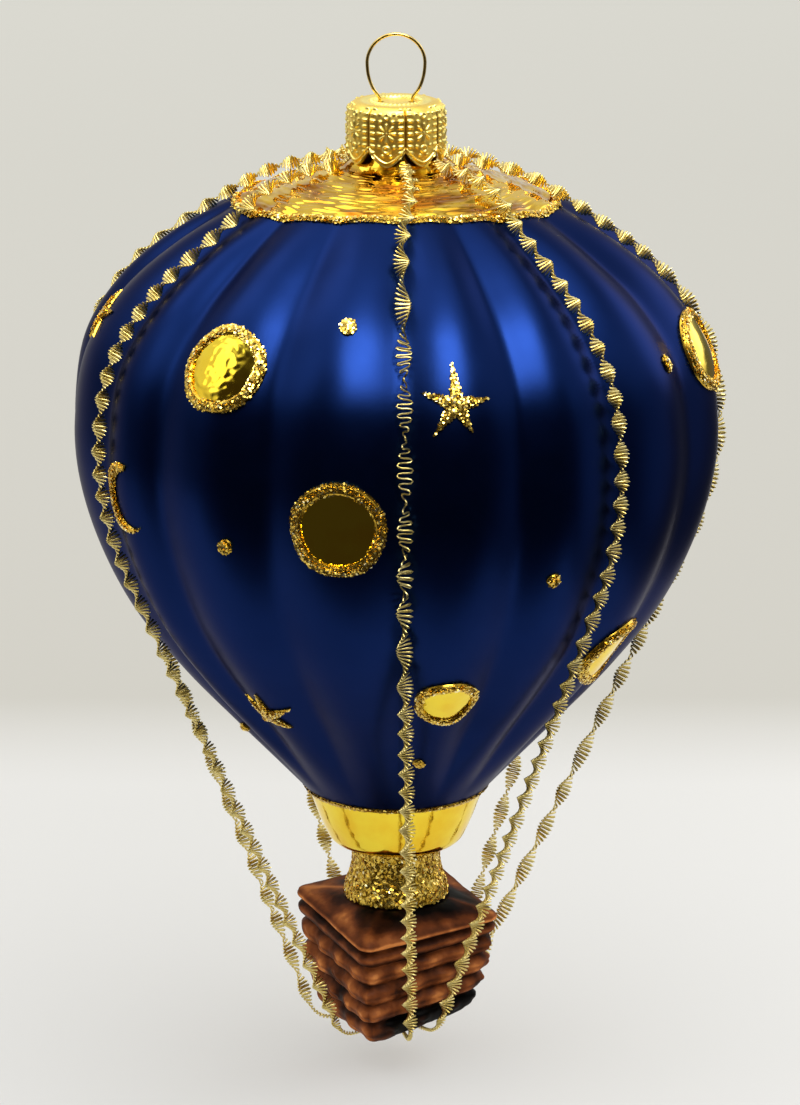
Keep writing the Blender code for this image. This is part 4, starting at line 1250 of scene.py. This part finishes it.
def build_basket():
    azimuths = round_azimuths(288)
    sections = np.array(BASKET_SECTIONS[::-1])
    top, eave, bottom = sections[0, 0], WEAVE_EDGES[0], sections[-1, 0]
    outline = Curve(sections)
    rows, tones = [], []
    for drop in np.concatenate((np.linspace(top, eave, 64)[:-1], np.linspace(eave, bottom, 116))):
        section = outline.at(np.interp(drop, sections[:, 0], outline.stations))
        row, tone = basket_row(*section, azimuths)
        rows.append(leaned(row, section[0] * MM))
        tones.append(tone)
    for drop, share in BASKET_UNDERSIDE:
        radius = share * square_radius(azimuths, *sections[-1, 1:])
        rows.append(leaned(place(azimuths, radius * MM, drop * MM), bottom * MM))
        tones.append(np.full(len(azimuths), 0.30))
    for drop, half_side, corner in BASKET_HOLLOW:
        radius = square_radius(azimuths, half_side, corner)
        rows.insert(0, leaned(place(azimuths, radius * MM, drop * MM), drop * MM))
        tones.insert(0, np.full(len(azimuths), 0.15))
    ends = [place(0, 0.0, drop * MM) for drop in (BASKET_HOLLOW[-1][0], BASKET_UNDERSIDE[-1][0])]
    vertices = np.concatenate((np.array(rows).reshape(-1, 3), ends))
    faces = disc_faces(len(rows), len(azimuths))
    shades = np.concatenate((np.array(tones).ravel(), [0.15, 0.3]))
    add_piece("basket_weave", vertices, faces, BASKET_PAINT, nodes=("basket",), shades=shades)


# Stage


def backdrop_material():
    """Pale matt paper, seen only from its front so that it never hides the object."""
    # Its emission is a painted glow that stands in for the room's light on the paper
    material, tree, shader = principled(
        "pale_paper", Roughness=0.9, Metallic=0.0, Specular_IOR_Level=0.1, Emission_Strength=1.0
    )
    material.cycles.emission_sampling = "NONE"
    space = tree.nodes.new("ShaderNodeTexCoord")
    height = tree.nodes.new("ShaderNodeSeparateXYZ")
    rise = add_node(tree, "ShaderNodeMapRange", From_Min=TABLE_Z, From_Max=TABLE_Z + 2 * SWEEP_RADIUS)
    clear = tree.nodes.new("ShaderNodeBsdfTransparent")
    facing = tree.nodes.new("ShaderNodeNewGeometry")
    mix = tree.nodes.new("ShaderNodeMixShader")
    feed(tree, height, Vector=space.outputs["Object"])
    feed(tree, rise, Value=height.outputs["Z"])
    feed(tree, shader, Base_Color=ramp(tree, rise.outputs["Result"], PAPER_STOPS))
    feed(tree, shader, Emission_Color=ramp(tree, rise.outputs["Result"], PAPER_PAINTED_GLOW_STOPS))
    feed(tree, mix, Fac=facing.outputs["Backfacing"])
    tree.links.new(shader.outputs["BSDF"], mix.inputs[1])
    tree.links.new(clear.outputs["BSDF"], mix.inputs[2])
    feed(tree, tree.nodes["Material Output"], Surface=mix.outputs["Shader"])
    return material


def build_backdrop():
    """Table, curved corner and wall in one sheet whose front faces up and forwards."""
    outline = [(TABLE_FRONT_Y, TABLE_Z)]
    for degrees in (0, *np.linspace(6, 90, 15)):
        a = math.radians(degrees)
        rise = SWEEP_RADIUS * (1 - math.cos(a))
        outline.append((TABLE_BACK_Y + SWEEP_RADIUS * math.sin(a), TABLE_Z + rise))
    outline.append((outline[-1][0], WALL_TOP_Z))
    vertices = [(x, y, z) for y, z in outline for x in (BACKDROP_LEFT_X, BACKDROP_RIGHT_X)]
    faces = [(2 * i, 2 * i + 1, 2 * i + 3, 2 * i + 2) for i in range(len(outline) - 1)]
    mesh = bpy.data.meshes.new("backdrop")
    mesh.from_pydata(vertices, [], faces)
    mesh.shade_smooth()
    mesh.materials.append(backdrop_material())
    backdrop = bpy.data.objects.new("backdrop", mesh)
    bpy.context.collection.objects.link(backdrop)


def build_ceiling_lamp():
    """One broad lamp above the front, which shines in the gloss only."""
    data = bpy.data.lights.new("ceiling", "AREA")
    data.shape = "RECTANGLE"
    data.size, data.size_y = LAMP_SIZE
    data.energy = LAMP_POWER
    data.color = (1.0, 0.98, 0.95)
    lamp = bpy.data.objects.new("ceiling", data)
    lamp.location = LAMP_PLACE
    lamp.rotation_euler = (Vector(LAMP_TARGET) - Vector(LAMP_PLACE)).to_track_quat("-Z", "Y").to_euler()
    lamp.visible_diffuse = False
    bpy.context.collection.objects.link(lamp)


def build_world():
    """Pale room whose unlit side is in front. Matt surfaces get its average light."""
    world = bpy.data.worlds.new("studio")
    bpy.context.scene.world = world
    world.use_nodes = True
    tree = world.node_tree
    tree.nodes.clear()
    space = tree.nodes.new("ShaderNodeTexCoord").outputs["Generated"]
    split = tree.nodes.new("ShaderNodeSeparateXYZ")
    feed(tree, split, Vector=space)
    elevation = spread(tree, split.outputs["Z"], 0.0, 1.0)

    def choose(factor, first, second):
        node = tree.nodes.new("ShaderNodeMix")
        node.data_type = "RGBA"
        feed(tree, node, Factor=factor, A=first)
        if isinstance(second, tuple):
            node.inputs["B"].default_value = (*second, 1)
        else:
            feed(tree, node, B=second)
        return node.outputs["Result"]

    def room_light(stops, spots):
        """Light by height, and over it spots round some directions."""
        light = ramp(tree, elevation, stops)
        for direction, edge, middle, colour in spots:
            toward = tree.nodes.new("ShaderNodeVectorMath")
            toward.operation = "DOT_PRODUCT"
            toward.inputs[1].default_value = Vector(direction).normalized()
            tree.links.new(space, toward.inputs[0])
            share = add_node(tree, "ShaderNodeMapRange", From_Min=edge, From_Max=middle)
            share.interpolation_type = "SMOOTHSTEP"
            feed(tree, share, Value=toward.outputs["Value"])
            light = choose(share.outputs["Result"], light, colour)
        return light

    rays = tree.nodes.new("ShaderNodeLightPath")
    glossy, matt = room_light(ROOM_STOPS, ROOM_SPOTS), room_light(SOFT_STOPS, SOFT_SPOTS)
    room = choose(rays.outputs["Is Diffuse Ray"], glossy, matt)
    room = choose(rays.outputs["Is Camera Ray"], room, ROOM_SEEN)
    background = tree.nodes.new("ShaderNodeBackground")
    output = tree.nodes.new("ShaderNodeOutputWorld")
    feed(tree, background, Color=room)
    feed(tree, output, Surface=background.outputs["Background"])


def build_camera():
    data = bpy.data.cameras.new("camera")
    data.sensor_width = CAMERA_SENSOR
    data.lens = CAMERA_LENS
    data.shift_x = CAMERA_SHIFT
    camera = bpy.data.objects.new("camera", data)
    camera.location = (0.0, -CAMERA_DISTANCE, RIM_Z + CAMERA_ABOVE_RIM)
    camera.rotation_euler = (math.radians(90 - CAMERA_PITCH), 0.0, 0.0)
    bpy.context.collection.objects.link(camera)
    bpy.context.scene.camera = camera


build_camera()
build_world()
build_ceiling_lamp()
build_backdrop()

build_loop()
build_cap()
build_cap_plate()
build_crown()
build_envelope()
build_collar()
build_neck()
build_basket()
build_border()
build_collar_line()
for number, stay in enumerate(STAYS, start=1):
    build_stay(number, stay)
build_knot()
for number, window in enumerate(WINDOWS, start=1):
    build_window(number, *window)
for number, star in enumerate(STARS, start=1):
    build_star(number, *star)
for number, crescent in enumerate(CRESCENTS, start=1):
    build_crescent(number, *crescent)
for number, dot in enumerate(DOTS, start=1):
    build_dot(number, *dot)

bpy.context.scene.view_settings.view_transform = "Standard"
